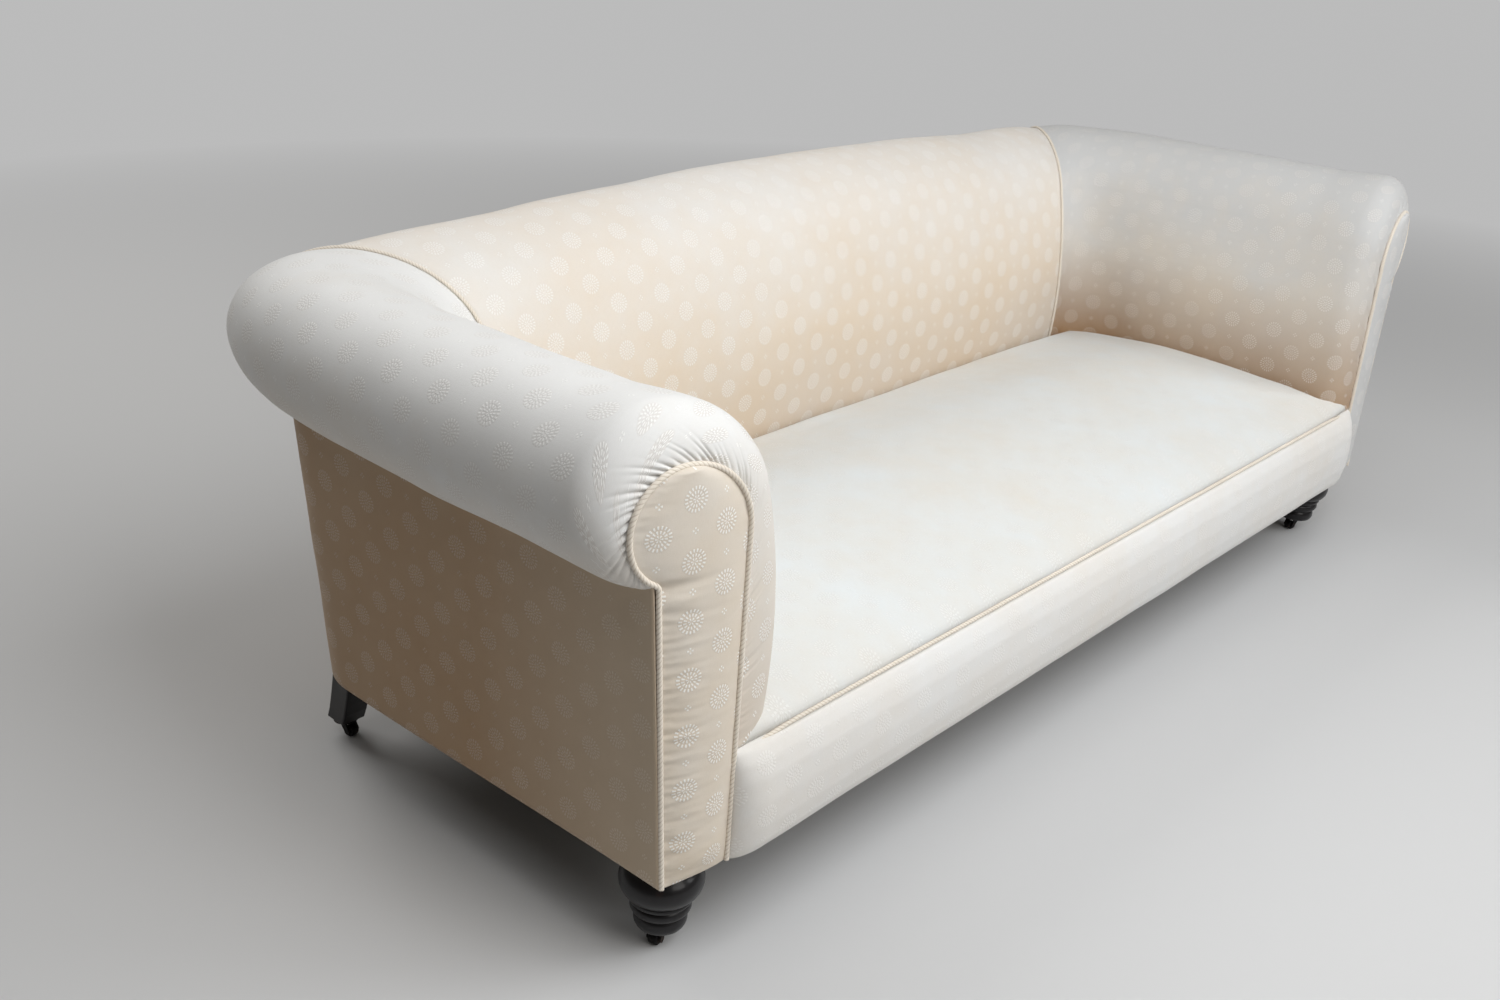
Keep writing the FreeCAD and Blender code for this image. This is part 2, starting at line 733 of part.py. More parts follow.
def build_facings():
    cord_y = -CORD_SET
    inset = cord_radius + v.gap
    edges = facing_outline(inset, cord_y - cord_radius)
    closing = line(edges[-1].Vertexes[-1].Point, edges[0].Vertexes[0].Point)
    plate = Part.Face(Part.Wire(edges + [closing])).extrude(Vector(0, v.facing_thickness, 0))
    path = Part.Wire(facing_outline(0, cord_y))
    start = path.Edges[0].Vertexes[0].Point
    end = path.Edges[0].Vertexes[-1].Point
    cord = tube(path, cord_radius, start, end - start)
    for name, side in SIDES:
        feature(name + "_front_facing", mirrored(plate, side), facing_place(side))
        feature(name + "_facing_cord", mirrored(cord, side), facing_place(side))


# Seat, border and the seat's edge cord

SEAT_STEPS = 5
BORDER_STEPS = 4

def seat_half_width():
    return v.half_width - v.belly_depth - v.seat_side_gap


def seat_rear():
    return v.half_width - v.belly_depth - mitre - v.seat_side_gap


def seat_line(x, inset):
    """The seat's top line at one station: lip, shoulder, crown and rear, as arc points."""
    share = 1 - (x / v.half_width) ** 2 * 0.55
    rise = v.seat_rise * (0.75 + 0.25 * share)
    crown = rise + (v.seat_crown - v.seat_rise) * share
    edge = v.cord_height - 1.5
    lip = seat_front()
    rear = seat_rear() + v.seat_side_gap
    run = v.seat_shoulder_run
    return [(lip + inset, edge), (lip + inset + run * 0.3, edge + rise * 0.7 - inset * 0.7),
            (lip + run, edge + rise - inset), ((run + rear) / 2, edge + crown - inset),
            (rear, edge + rise - inset)]


def seat_front():
    return -cord_radius - 1


def seat_stations():
    half = seat_half_width() + v.seat_side_gap
    return [half * step / SEAT_STEPS for step in range(-SEAT_STEPS, SEAT_STEPS + 1)]


def seat_plan(low, high):
    """A block with the seat's plan, its corners rounded."""
    half = seat_half_width()
    front = seat_front() - 1
    rear = seat_rear()
    nose = v.seat_front_corner / 2
    bend = v.seat_rear_corner
    slack = bend * (1 - math.sqrt(0.5))

    def edges(side):
        def spot(x, y):
            return point(side * x, y, low)

        return [arc(spot(half - nose * 1.5, front), spot(half - nose * 0.4, front + nose * 0.3),
                    spot(half, front + nose)),
                line(spot(half, front + nose), spot(half, rear - bend)),
                arc(spot(half, rear - bend), spot(half - slack, rear - slack), spot(half - bend, rear))]

    right = edges(1)
    left = edges(-1)
    front_line = line(point(nose * 1.5 - half, front, low), point(half - nose * 1.5, front, low))
    rear_line = line(point(half - bend, rear, low), point(bend - half, rear, low))
    outline = [front_line] + right + [rear_line] + left
    return Part.Face(Part.Wire(Part.__sortEdges__(outline))).extrude(Vector(0, 0, high - low))


def build_seat():
    border_back = 3 + v.gap
    floor = v.spring_height + v.hessian + v.gap
    inset = v.cover + v.gap
    wires = []
    bands = []
    for x in seat_stations():
        line_points = [point(x, *spot) for spot in seat_line(x, inset)]
        edge = line_points[0]
        step = point(x, border_back, edge.z - base)
        rear_foot = point(x, line_points[-1].y - face, floor - 1)
        corners = [line_points[-1], rear_foot, point(x, border_back, floor - 1), step, edge]
        wires.append(Part.Wire(arcs_through(line_points)
                               + [line(a, b) for a, b in zip(corners, corners[1:])]))
        outer = [point(x, *spot) for spot in seat_line(x, 0)]
        inner = [point(x, *spot) for spot in reversed(seat_line(x, v.cover))]
        bands.append(Part.Wire(arcs_through(outer) + [line(outer[-1], inner[0])]
                               + arcs_through(inner) + [line(inner[-1], outer[0])]))
    top = v.cord_height + v.seat_crown + 10
    feature("seat_stuffing", skin_through(wires).common(seat_plan(floor, top)))
    feature("seat_cover", skin_through(bands).common(seat_plan(floor, top)))
    build_border()
    build_seat_cord()


def border_section(x, share, inset, thickness):
    """The border at one station: its front bulges, and draws in above the base."""
    back = 3.0
    top = v.cord_height - 1.5 - v.gap
    high = (-cord_radius - 1) * share - 2 + inset
    full = -v.border_bulge * share - 2 * (1 - share) + inset
    low = -v.border_foot * share - 2 * (1 - share) + inset
    mid_z = top * 0.5
    front = [point(x, high, top), point(x, full, mid_z), point(x, low, 0)]
    if thickness:
        rear = [point(x, low + thickness, 0), point(x, full + thickness, mid_z),
                point(x, high + thickness, top)]
        return Part.Wire([arc(*front), line(front[2], rear[0]), arc(*rear), line(rear[2], front[0])])
    return Part.Wire([arc(*front), line(front[2], point(x, back, 0)),
                      line(point(x, back, 0), point(x, back, top)), line(point(x, back, top), front[0])])


def border_stations(end):
    """Stations along the border, and how full it is at each: its ends are rounded."""
    corner = v.seat_front_corner
    right = []
    for step in range(BORDER_STEPS + 1):
        turn = math.pi / 2 * step / BORDER_STEPS
        right.append((end - corner + corner * math.sin(turn), 0.1 + 0.9 * math.cos(turn)))
    return [(-x, share) for x, share in reversed(right)] + right


def build_border():
    end = v.half_width - v.facing_width - cord_radius - 1
    skin = v.cover * 0.6
    stuffing = [border_section(x, share, skin + v.gap, 0) for x, share in border_stations(end)]
    skins = [border_section(x, share, 0, skin) for x, share in border_stations(end)]
    feature("front_border_stuffing", skin_through(stuffing))
    feature("front_border_cover", skin_through(skins))


def build_seat_cord():
    """The cord along the seat's front edge, turned in to the facings at both ends."""
    bend = v.seat_front_corner
    turn = math.radians(20)
    y = seat_front() - cord_radius - 1
    z = v.cord_height - 1.5 + cord_radius
    end_x = v.half_width - v.facing_width - v.cord_diameter - 4
    straight = end_x - bend * math.sin(turn)
    end_y = y + bend * (1 - math.cos(turn))
    mid_x = straight + bend * math.sin(turn / 2)
    mid_y = y + bend * (1 - math.cos(turn / 2))
    edges = [arc(point(-end_x, end_y, z), point(-mid_x, mid_y, z), point(-straight, y, z)),
             line(point(-straight, y, z), point(straight, y, z)),
             arc(point(straight, y, z), point(mid_x, mid_y, z), point(end_x, end_y, z))]
    way = Vector(math.cos(turn), -math.sin(turn), 0)
    feature("seat_edge_cord", tube(Part.Wire(edges), cord_radius, point(-end_x, end_y, z), way))


# Outside covers

def outside_plan(height, lean):
    """The right outside arm cover's plan at one height, turned round the rear corner."""
    outer_x = v.half_width + lean
    rear = v.body_depth + lean
    front = cord_radius - CORD_SET + 2 * v.gap + math.tan(FACING_TURN) * (outer_x - FACING_MIDDLE)
    outline = []
    for inset in (0, v.panel):
        radius = v.corner_radius - inset
        centre_x = outer_x - v.corner_radius
        centre_y = rear - v.corner_radius
        middle = radius * math.sqrt(0.5)
        outline.append((point(outer_x - inset, front, height), point(centre_x + radius, centre_y, height),
                        point(centre_x + middle, centre_y + middle, height),
                        point(centre_x, centre_y + radius, height)))
    (a, b, c, d), (e, f, g, h) = outline
    return Part.Wire([line(a, b), arc(b, c, d), line(d, h), arc(h, g, f), line(f, e), line(e, a)])


def build_outside():
    lean = v.outside_lean
    drop = math.sqrt(v.roll_radius ** 2 - (lean + v.roll_inset) ** 2)
    top = v.roll_height - v.roll_radius - 3 * v.gap
    arm = skin_through([outside_plan(0, 0), outside_plan(top, lean * top / (v.roll_height - drop))])
    for name, side in SIDES:
        feature(name + "_outside_arm_cover", mirrored(arm, side))
    edge = v.half_width - v.corner_radius - v.gap
    wires = []
    for height, out in ((0, 0), (top, lean * top / (v.roll_height - drop))):
        rear = v.body_depth + out
        half = edge + out
        spots = [(-half, rear), (half, rear), (half, rear - v.panel), (-half, rear - v.panel)]
        wires.append(Part.makePolygon([point(x, y, height) for x, y in spots + spots[:1]]))
    feature("outside_back_cover", skin_through(wires))


# Feet and castors

def origin_plane(body, role):
    return [part for part in body.Origin.OriginFeatures if part.Role == role][0]


def turned_body(label, edges):
    """A turned piece: half its outline, spun about its own axis."""
    body = doc.addObject("PartDesign::Body", label)
    sketch = body.newObject("Sketcher::SketchObject", label + "_outline")
    sketch.AttachmentSupport = [(origin_plane(body, "XZ_Plane"), "")]
    sketch.MapMode = "FlatFace"
    sketch.addGeometry(edges, False)
    spin = body.newObject("PartDesign::Revolution", label + "_turning")
    spin.Profile = sketch
    spin.ReferenceAxis = (sketch, ["V_Axis"])
    spin.Angle = 360
    return keep(body, label)


def foot_outline():
    """Half the front foot, from the castor plate up: disc, rings, cove and bun."""
    big = v.foot_radius
    ring = v.foot_ring_radius
    tall = v.foot_height
    spots = [(0, 0), (ring * 0.78, 0), (ring * 0.87, tall * 0.1), (ring * 0.78, tall * 0.175),
             (ring, tall * 0.25), (ring * 0.88, tall * 0.325), (ring * 1.06, tall * 0.365),
             (ring, tall * 0.405), (big * 0.86, tall * 0.43), (big, tall * 0.545),
             (big * 0.84, tall * 0.76), (big * 0.78, tall * 0.82), (big * 0.78, tall), (0, tall)]
    flat = [Vector(x, z, 0) for x, z in spots]
    edges = [Part.LineSegment(flat[0], flat[1])]
    for low in (1, 3, 5):
        edges.append(Part.Arc(*flat[low:low + 3]))
    edges.append(Part.LineSegment(flat[7], flat[8]))
    edges.append(Part.Arc(*flat[8:11]))
    for low in (10, 11, 12):
        edges.append(Part.LineSegment(flat[low], flat[low + 1]))
    edges.append(Part.LineSegment(flat[13], flat[0]))
    return edges


def build_feet():
    for name, side in SIDES:
        foot = turned_body(name + "_front_foot", foot_outline())
        sign = "" if side > 0 else "-"
        foot.setExpression("Placement.Base.x", sign + "(Sizes.half_width - Sizes.foot_inset)")
        foot.setExpression("Placement.Base.y", FACE + " + Sizes.foot_setback")
        foot.setExpression("Placement.Base.z", "Sizes.castor_height")
        leg = skin_through([square_wire(0, v.leg_top, 0),
                            square_wire(v.leg_rake, v.leg_bottom, -v.foot_height)])
        feature(name + "_back_leg", mirrored(leg, side))


def back_leg_middle():
    return v.half_width - v.leg_inset, v.body_depth - v.leg_setback


def square_wire(rake, size, z):
    x, y = back_leg_middle()
    half = size / 2
    corners = [(-half, -half), (half, -half), (half, half), (-half, half), (-half, -half)]
    return Part.makePolygon([point(x + dx, y + rake + dy, z) for dx, dy in corners])


def castor_places():
    """Where each castor stands, and which way it trails at rest."""
    foot_x = v.half_width - v.foot_inset
    leg_x, leg_y = back_leg_middle()
    rear_y = leg_y + v.leg_rake
    return [("front_left", -foot_x, v.foot_setback, 195), ("front_right", foot_x, v.foot_setback, 165),
            ("back_left", -leg_x, rear_y, 280), ("back_right", leg_x, rear_y, 250)]


def castor_place(x, y, angle):
    return FreeCAD.Placement(Vector(x, face + y, 0), FreeCAD.Rotation(Vector(0, 0, 1), angle))


def moved(shape, x, y):
    return shape.translated(Vector(x, face + y, 0))


def screw_circle():
    return v.castor_plate_radius * 0.7


def castor_screw_places():
    return [Vector(screw_circle() * math.cos(angle), screw_circle() * math.sin(angle), 0)
            for angle in (math.radians(30), math.radians(150), math.radians(270))]


def castor_plate():
    """The round plate, its swivel pin and the pin's riveted head."""
    under = v.castor_height - v.castor_plate
    plate = Part.makeCylinder(v.castor_plate_radius, v.castor_plate, Vector(0, 0, under))
    pin_length = v.castor_disc + 4 * v.running_gap
    pin = Part.makeCylinder(v.castor_pin / 2, pin_length, Vector(0, 0, under - pin_length))
    head = Part.makeCylinder(v.castor_pin * 0.75, 1.2, Vector(0, 0, under - pin_length - 1.2))
    whole = plate.fuse([pin, head]).removeSplitter()
    radius = v.castor_screw / 2 + v.running_gap
    holes = [Part.makeCylinder(radius, v.castor_plate, spot + Vector(0, 0, under))
             for spot in castor_screw_places()]
    return whole.cut(holes)


def castor_screw():
    """A short screw, flush in the plate that it holds up."""
    under = v.castor_height - v.castor_plate
    return Part.makeCylinder(v.castor_screw / 2, v.castor_plate, Vector(0, 0, under))


def castor_horn():
    """The swivelling disc and the two cheeks that carry the axle."""
    top = v.castor_height - v.castor_plate - 2 * v.running_gap
    bottom = top - v.castor_disc
    radius = v.castor_wheel_radius * 0.95
    slot = v.castor_wheel_width / 2 + 10 * v.running_gap
    disc = Part.makeCylinder(radius, v.castor_disc, Vector(0, 0, bottom))
    eye = v.castor_axle * 1.1
    axle_z = v.castor_wheel_radius
    cheeks = []
    for y in (slot, -slot - v.castor_cheek):
        corners = [Vector(-radius * 0.5, y, top), Vector(radius * 0.95, y, top),
                   Vector(v.castor_trail + eye, y, axle_z), Vector(v.castor_trail - eye, y, axle_z)]
        plate = polygon_face(corners).extrude(Vector(0, v.castor_cheek, 0))
        eye_disc = Part.makeCylinder(eye, v.castor_cheek, Vector(v.castor_trail, y, axle_z), Vector(0, 1, 0))
        cheeks += [plate, eye_disc]
    bridge = Part.makeBox(radius * 1.4, 2 * slot, v.castor_disc, Vector(-radius * 0.5, -slot, bottom))
    whole = disc.fuse(cheeks + [bridge]).removeSplitter()
    pin = Part.makeCylinder(v.castor_pin / 2 + v.running_gap, v.castor_disc + 2, Vector(0, 0, bottom - 1))
    reach = 2 * (slot + v.castor_cheek)
    start = Vector(v.castor_trail, -reach / 2, axle_z)
    bore = Part.makeCylinder(v.castor_axle / 2 + v.running_gap, reach, start, Vector(0, 1, 0))
    return whole.cut([pin, bore])


def castor_axle():
    slot = v.castor_wheel_width / 2 + 10 * v.running_gap
    reach = 2 * (slot + v.castor_cheek)
    start = Vector(v.castor_trail, -reach / 2, v.castor_wheel_radius)
    return Part.makeCylinder(v.castor_axle / 2, reach, start, Vector(0, 1, 0))


def castor_wheel():
    width = v.castor_wheel_width
    start = Vector(v.castor_trail, -width / 2, v.castor_wheel_radius)
    across = Vector(0, 1, 0)
    tyre = Part.makeCylinder(v.castor_wheel_radius, width, start, across)
    rims = [edge for edge in tyre.Edges if edge.Closed]
    tyre = tyre.makeFillet(width * 0.15, rims)
    return tyre.cut(Part.makeCylinder(v.castor_axle / 2 + v.running_gap, width, start, across))


def build_castors():
    plates = []
    screws = []
    for name, x, y, angle in castor_places():
        plates.append(moved(castor_plate(), x, y))
        screws += [moved(castor_screw(), x + spot.x, y + spot.y) for spot in castor_screw_places()]
        place = castor_place(x, y, angle)
        feature(name + "_castor_horn", castor_horn(), place)
        feature(name + "_castor_axle", castor_axle(), place)
        feature(name + "_castor_wheel", castor_wheel(), place)
    feature("castor_plates", Part.makeCompound(plates))
    feature("castor_screws", Part.makeCompound(screws))


def check_and_write():
    doc.recompute()
    for thing in doc.Objects:
        if "Invalid" in thing.State or "Error" in thing.State:
            raise RuntimeError("failed: " + thing.Label)
    os.makedirs("parts", exist_ok=True)
    for thing in NODES:
        if thing.Shape.isNull() or not thing.Shape.isValid():
            raise RuntimeError("bad shape: " + thing.Label)
        thing.Shape.exportStep("parts/%s.step" % thing.Label)
    print("wrote %d nodes" % len(NODES))


build_frame()
build_suspension()
build_pads()
build_facings()
build_seat()
build_outside()
build_feet()
build_castors()
check_and_write()
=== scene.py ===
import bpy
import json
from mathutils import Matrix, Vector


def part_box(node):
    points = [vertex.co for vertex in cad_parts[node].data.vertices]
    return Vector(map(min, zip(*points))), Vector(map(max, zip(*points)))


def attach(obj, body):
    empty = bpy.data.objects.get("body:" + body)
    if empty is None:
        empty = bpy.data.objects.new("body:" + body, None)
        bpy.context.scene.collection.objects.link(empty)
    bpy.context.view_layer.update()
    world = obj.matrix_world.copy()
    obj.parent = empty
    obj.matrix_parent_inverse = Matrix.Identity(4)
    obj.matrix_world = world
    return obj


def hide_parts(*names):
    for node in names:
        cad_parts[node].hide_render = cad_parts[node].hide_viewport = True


bl_info = {
    "name": "Chesterfield Sofa",
    "version": (1, 0, 0),
    "blender": (4, 5, 0),
    "location": "View3D > Sidebar > Sofa",
    "description": "Dresses a low scroll-armed sofa in cream damask with corded seams",
    "category": "Add Mesh",
}

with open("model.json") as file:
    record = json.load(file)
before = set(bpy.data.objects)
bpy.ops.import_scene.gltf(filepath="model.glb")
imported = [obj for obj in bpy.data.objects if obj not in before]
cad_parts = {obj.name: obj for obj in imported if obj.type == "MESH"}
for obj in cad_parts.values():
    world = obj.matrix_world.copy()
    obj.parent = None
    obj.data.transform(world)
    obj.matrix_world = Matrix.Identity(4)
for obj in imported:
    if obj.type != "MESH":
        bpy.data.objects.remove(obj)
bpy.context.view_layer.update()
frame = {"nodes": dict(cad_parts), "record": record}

import json
import math
from collections import namedtuple

import bmesh
import bpy
from bpy.props import FloatProperty, FloatVectorProperty, IntProperty, PointerProperty
from mathutils import Matrix, Vector, noise

# Left is -X, the front faces -Y, Z is up and the floor is Z = 0. Metres throughout.
SIDES = (("left", -1), ("right", 1))
CLOTH_MAP = "cloth"


# Sizes and colours that a user would change

def size(name, description, default):
    return FloatProperty(name=name, description=description, default=default, unit="LENGTH", precision=4)


def colour(name, description, default):
    return FloatVectorProperty(name=name, description=description, default=default, size=3,
                               subtype="COLOR", min=0, max=1)


class SofaSizes(bpy.types.PropertyGroup):
    """Sizes of the sofa's cover, shared by its pieces."""
    base: size("Base", "Lower edge of the upholstery above the floor", 0.134)
    face: size("Facing", "Where the scroll facings stand, along the depth", -0.385)
    half_width: size("Half width", "Middle to outside arm at the base", 0.930)
    body_depth: size("Body depth", "Facing to outside back at the base", 0.690)
    lean: size("Lean", "How far the outside covers lean out below the roll", 0.020)
    roll_radius: size("Roll radius", "Radius of the arm and back rolls", 0.093)
    roll_height: size("Roll height", "Roll centre above the base", 0.453)
    roll_inset: size("Roll inset", "Roll centre inside the outside arm", 0.005)
    back_setback: size("Back setback", "Back roll's centre behind the outside back", 0.022)
    back_crown: size("Back crown", "Extra height in the middle of the back", 0.022)
    shoulder: size("Shoulder", "Radius of the roll's inside shoulder", 0.140)
    belly_depth: size("Belly depth", "Outside arm to the fullest point of the inside pad", 0.175)
    belly_height: size("Belly height", "Fullest point of the inside pad above the base", 0.285)
    pad_foot: size("Pad foot", "Outside arm to the foot of the inside pad", 0.160)
    pad_bottom: size("Pad bottom", "Foot of the inside pads above the base", 0.141)
    corner_radius: size("Corner radius", "Rounding of the outside rear corners", 0.112)
    outside_bow: size("Outside bow", "How far an outside arm's cover stands out towards the rear", 0.010)
    corner_run: size("Corner run", "Run in which arms and back turn to the corner seams", 0.105)
    seam_low: size("Seam inset, low", "Corner seam in from the inside arm at its fullest", 0.078)
    seam_high: size("Seam inset, high", "Corner seam in from the crest of the arm", 0.113)
    puff: size("Puff", "Run in which an arm swells behind its facing", 0.045)
    puff_relax: size("Puff end", "Where an arm is back to its plain section", 0.140)
    puff_inset: size("Puff inset", "Puffed roll's centre inside the outside arm", 0.009)
    puff_height: size("Puff height", "Puffed roll's centre above the base", 0.455)
    puff_radius: size("Puff radius", "Radius of the puffed roll", 0.097)
    puff_shoulder: size("Puff shoulder", "Radius of the puffed roll's inside shoulder", 0.150)
    puff_belly: size("Puff belly", "Outside arm to the fullest point of the puffed pad", 0.178)
    puff_foot: size("Puff foot", "Outside arm to the foot of the puffed pad", 0.165)
    scroll_radius: size("Scroll radius", "Radius of the facing's scroll", 0.064)
    scroll_height: size("Scroll height", "Scroll centre above the base", 0.431)
    scroll_inset: size("Scroll inset", "Scroll centre inside the outside arm", 0.014)
    facing_shoulder: size("Facing shoulder", "Radius of the facing's inner shoulder", 0.086)
    facing_width: size("Facing width", "Width of the facing at its foot", 0.093)
    facing_setback: size("Facing setback", "Outer edge of a facing behind its inner edge", 0.013)
    throat_fillet: size("Throat", "Radius of the notch below the scroll", 0.009)
    cord: size("Cord", "Diameter of the twisted cord", 0.0064)
    seat_edge: size("Seat edge", "Seat's corded front edge above the base", 0.1405)
    seat_rise: size("Seat rise", "Seat's front shoulder above its edge", 0.038)
    seat_crown: size("Seat crown", "Seat's crown above its edge", 0.063)
    border_bulge: size("Border bulge", "Fullest point of the border ahead of the facings", 0.035)
    border_foot: size("Border foot", "Lower edge of the border ahead of the facings", 0.023)


class SofaColours(bpy.types.PropertyGroup):
    """Colours of the sofa's finishes."""
    cream: colour("Cream", "Ground of the damask", (0.70, 0.605, 0.485))
    peach: colour("Peach", "Ground of the back, where it is least faded", (0.735, 0.62, 0.49))
    faded: colour("Faded", "Ground where light and wear have paled it", (0.77, 0.765, 0.75))
    # Painted shade: the outside covers' ground is a darker, warmer tan that stands for the shade on them.
    painted_shade: colour("Shaded", "Ground of the outside covers, the least faded", (0.54, 0.44, 0.325))
    # Painted shade: this grey stands for the shade on the right arm and right facing.
    right_shade_grey: colour("Dusty", "Ground of the right arm where dust has greyed it", (0.575, 0.575, 0.57))
    worn: colour("Worn", "Ground of the seat where it is least washed out", (0.72, 0.675, 0.60))
    washed: colour("Washed", "Ground of the seat, cool and washed out", (0.735, 0.765, 0.770))
    motif: colour("Motif", "Woven medallions", (0.92, 0.915, 0.89))
    # Brown of the soiling in the crevices, also used there and between the medallions' dashes as painted
    # shade.
    grime_and_shade: colour("Grime", "Brown soiling in the crevices", (0.36, 0.20, 0.085))
    cord: colour("Cord", "Twisted cord", (0.74, 0.675, 0.585))
    ebony: colour("Ebony", "Ebonised feet", (0.006, 0.005, 0.006))
    iron: colour("Iron", "Castors", (0.012, 0.011, 0.011))
    floor: colour("Floor", "Studio floor", (0.62, 0.62, 0.62))


class SofaStage(bpy.types.PropertyGroup):
    """Camera and light."""
    lens: FloatProperty(name="Lens", description="Focal length on a 36 mm sensor", default=36.07,
                        unit="CAMERA")
    azimuth: FloatProperty(name="Azimuth", description="Way the camera looks, from +Y towards -X",
                           default=math.radians(-48.91), subtype="ANGLE")
    pitch: FloatProperty(name="Pitch", description="How far the camera looks down",
                         default=math.radians(23.78), subtype="ANGLE")
    roll: FloatProperty(name="Roll", description="How far the camera is tipped",
                        default=math.radians(3.44), subtype="ANGLE")
    place: FloatVectorProperty(name="Place", description="Where the camera stands",
                               default=(-1.873, -1.301, 1.181), subtype="TRANSLATION")
    key: FloatProperty(name="Key light", description="Strength of the main lamp", default=36.0, unit="POWER")
    world: FloatProperty(name="World light", description="Strength of the surrounding light", default=0.09)


class SofaDetail(bpy.types.PropertyGroup):
    """How finely the covers are made."""
    arm_across: IntProperty(name="Arm across", description="Faces over an arm", default=440)
    back_across: IntProperty(name="Back across", description="Faces over the back", default=150)
    back_along: IntProperty(name="Back along", description="Faces along the back", default=190)


def sizes():
    return bpy.context.scene.sofa_sizes


def tint(name):
    return tuple(getattr(bpy.context.scene.sofa_colours, name))


# Shader maths

def maths(operation, swapped=False):
    """A method that puts a maths node on a value, or on the other term first where they are swapped."""
    def method(self, *terms):
        terms = (*terms, self) if swapped else (self, *terms)
        return self.paint.node("ShaderNodeMath", {"operation": operation}, dict(enumerate(terms)))
    return method


class Value:
    """A socket's value, which can be used in sums."""
    __add__ = maths("ADD")
    __radd__ = maths("ADD", swapped=True)
    __sub__ = maths("SUBTRACT")
    __rsub__ = maths("SUBTRACT", swapped=True)
    __mul__ = maths("MULTIPLY")
    __truediv__ = maths("DIVIDE")
    __mod__ = maths("FLOORED_MODULO")
    floor = maths("FLOOR")
    cos = maths("COSINE")
    root = maths("SQRT")
    angle = maths("ARCTAN2")
    larger = maths("MAXIMUM")

    def __init__(self, paint, socket):
        self.paint = paint
        self.socket = socket

    def between(self, low, high):
        """0 below low, 1 above high and straight between."""
        return self.paint.node("ShaderNodeMapRange", {"clamp": True},
                               {"Value": self, "From Min": low, "From Max": high})


class Paint:
    """A material made of nodes round one Principled shader."""

    def __init__(self, name, **fixed):
        self.material = bpy.data.materials.new(name)
        self.material.use_nodes = True
        self.tree = self.material.node_tree
        self.shader = self.tree.nodes["Principled BSDF"]
        for socket, value in fixed.items():
            self.shader.inputs[socket.replace("_", " ")].default_value = value

    def feed(self, target, value):
        if isinstance(value, Value):
            self.tree.links.new(value.socket, target)
        else:
            target.default_value = value

    def node(self, kind, settings, inputs, output=0):
        made = self.tree.nodes.new(kind)
        for setting, value in settings.items():
            setattr(made, setting, value)
        for socket, value in inputs.items():
            self.feed(made.inputs[socket], value)
        return Value(self, made.outputs[output])

    def to_shader(self, **links):
        for socket, value in links.items():
            self.feed(self.shader.inputs[socket.replace("_", " ")], value)
        return self.material

    def object_place(self):
        return self.node("ShaderNodeTexCoord", {}, {}, "Object")

    def cloth_place(self):
        return self.node("ShaderNodeUVMap", {"uv_map": CLOTH_MAP}, {}, "UV")

    def axis(self, place, letter):
        return self.node("ShaderNodeSeparateXYZ", {}, {"Vector": place}, letter)

    def mix(self, share, first, second):
        """A colour between two colours."""
        inputs = {0: share}
        for number, part in ((6, first), (7, second)):
            inputs[number] = part if isinstance(part, Value) else (*part, 1)
        return self.node("ShaderNodeMix", {"data_type": "RGBA"}, inputs, 2)

    def noise(self, place, scale, detail=2.0, rough=0.5):
        inputs = {"Vector": place, "Scale": scale, "Detail": detail, "Roughness": rough}
        return self.node("ShaderNodeTexNoise", {}, inputs, "Fac")

    def stretch(self, place, scale):
        return self.node("ShaderNodeMapping", {}, {"Vector": place, "Scale": scale})

    def bump(self, height, strength, distance):
        inputs = {"Height": height, "Strength": strength, "Distance": distance}
        return self.node("ShaderNodeBump", {}, inputs, "Normal")


# Materials

MEDALLION_COLUMN = 0.041
MEDALLION_DROP = 0.0675
MEDALLION_WIDE = 0.0142
MEDALLION_TALL = 0.0140
ROSETTE = 0.0036

# How one cover has aged and is shaded: its ground and pale colours and the share paled, extra paling of the
# crown (partly fading, partly painted light), darkening below soil_top (partly soiling, partly painted
# shade), strength of the motif and what is added near the front, mottling, and how far the medallions are
# filled in rather than given painted shade between their dashes.
LOOK_FIELDS = "ground pale paling crown soil soil_top motif front mottle fill"
Look = namedtuple("Look", LOOK_FIELDS, defaults=(0.0, 0.0, 0.5, 0.2, 0.0, 1.0, 0.0))


def dashes(radius, angle, inner, outer, count, turn):
    """A ring of short radial dashes: 1 on them and 0 between."""
    soft = 0.035
    band = radius.between(inner - soft, inner + soft) * (1 - radius.between(outer - soft, outer + soft))
    return band * (angle * count + turn).cos().between(-0.10, 0.40)


def medallions(across, up):
    """The woven motif, medallions of dashes on half-drop columns with rosettes, and the medallions' area."""
    column = across / MEDALLION_COLUMN
    drop = up / MEDALLION_DROP + (column.floor() % 2) * 0.5
    x = (column % 1 - 0.5) * MEDALLION_COLUMN
    wide = x / MEDALLION_WIDE
    tall = (drop % 1 - 0.5) * (MEDALLION_DROP / MEDALLION_TALL)
    radius = (wide * wide + tall * tall).root()
    angle = tall.angle(wide)
    motif = dashes(radius, angle, 0.74, 1.0, 19, 0.0)
    motif = motif.larger(dashes(radius, angle, 0.40, 0.64, 13, 1.3))
    motif = motif.larger(dashes(radius, angle, 0.08, 0.30, 6, 0.4))
    small_x = x / ROSETTE
    small_y = ((drop + 0.5) % 1 - 0.5) * (MEDALLION_DROP / ROSETTE)
    small = (small_x * small_x + small_y * small_y).root()
    motif = motif.larger(dashes(small, small_y.angle(small_x), 0.42, 1.0, 4, 0.0))
    return motif, 1 - radius.between(0.95, 1.12)


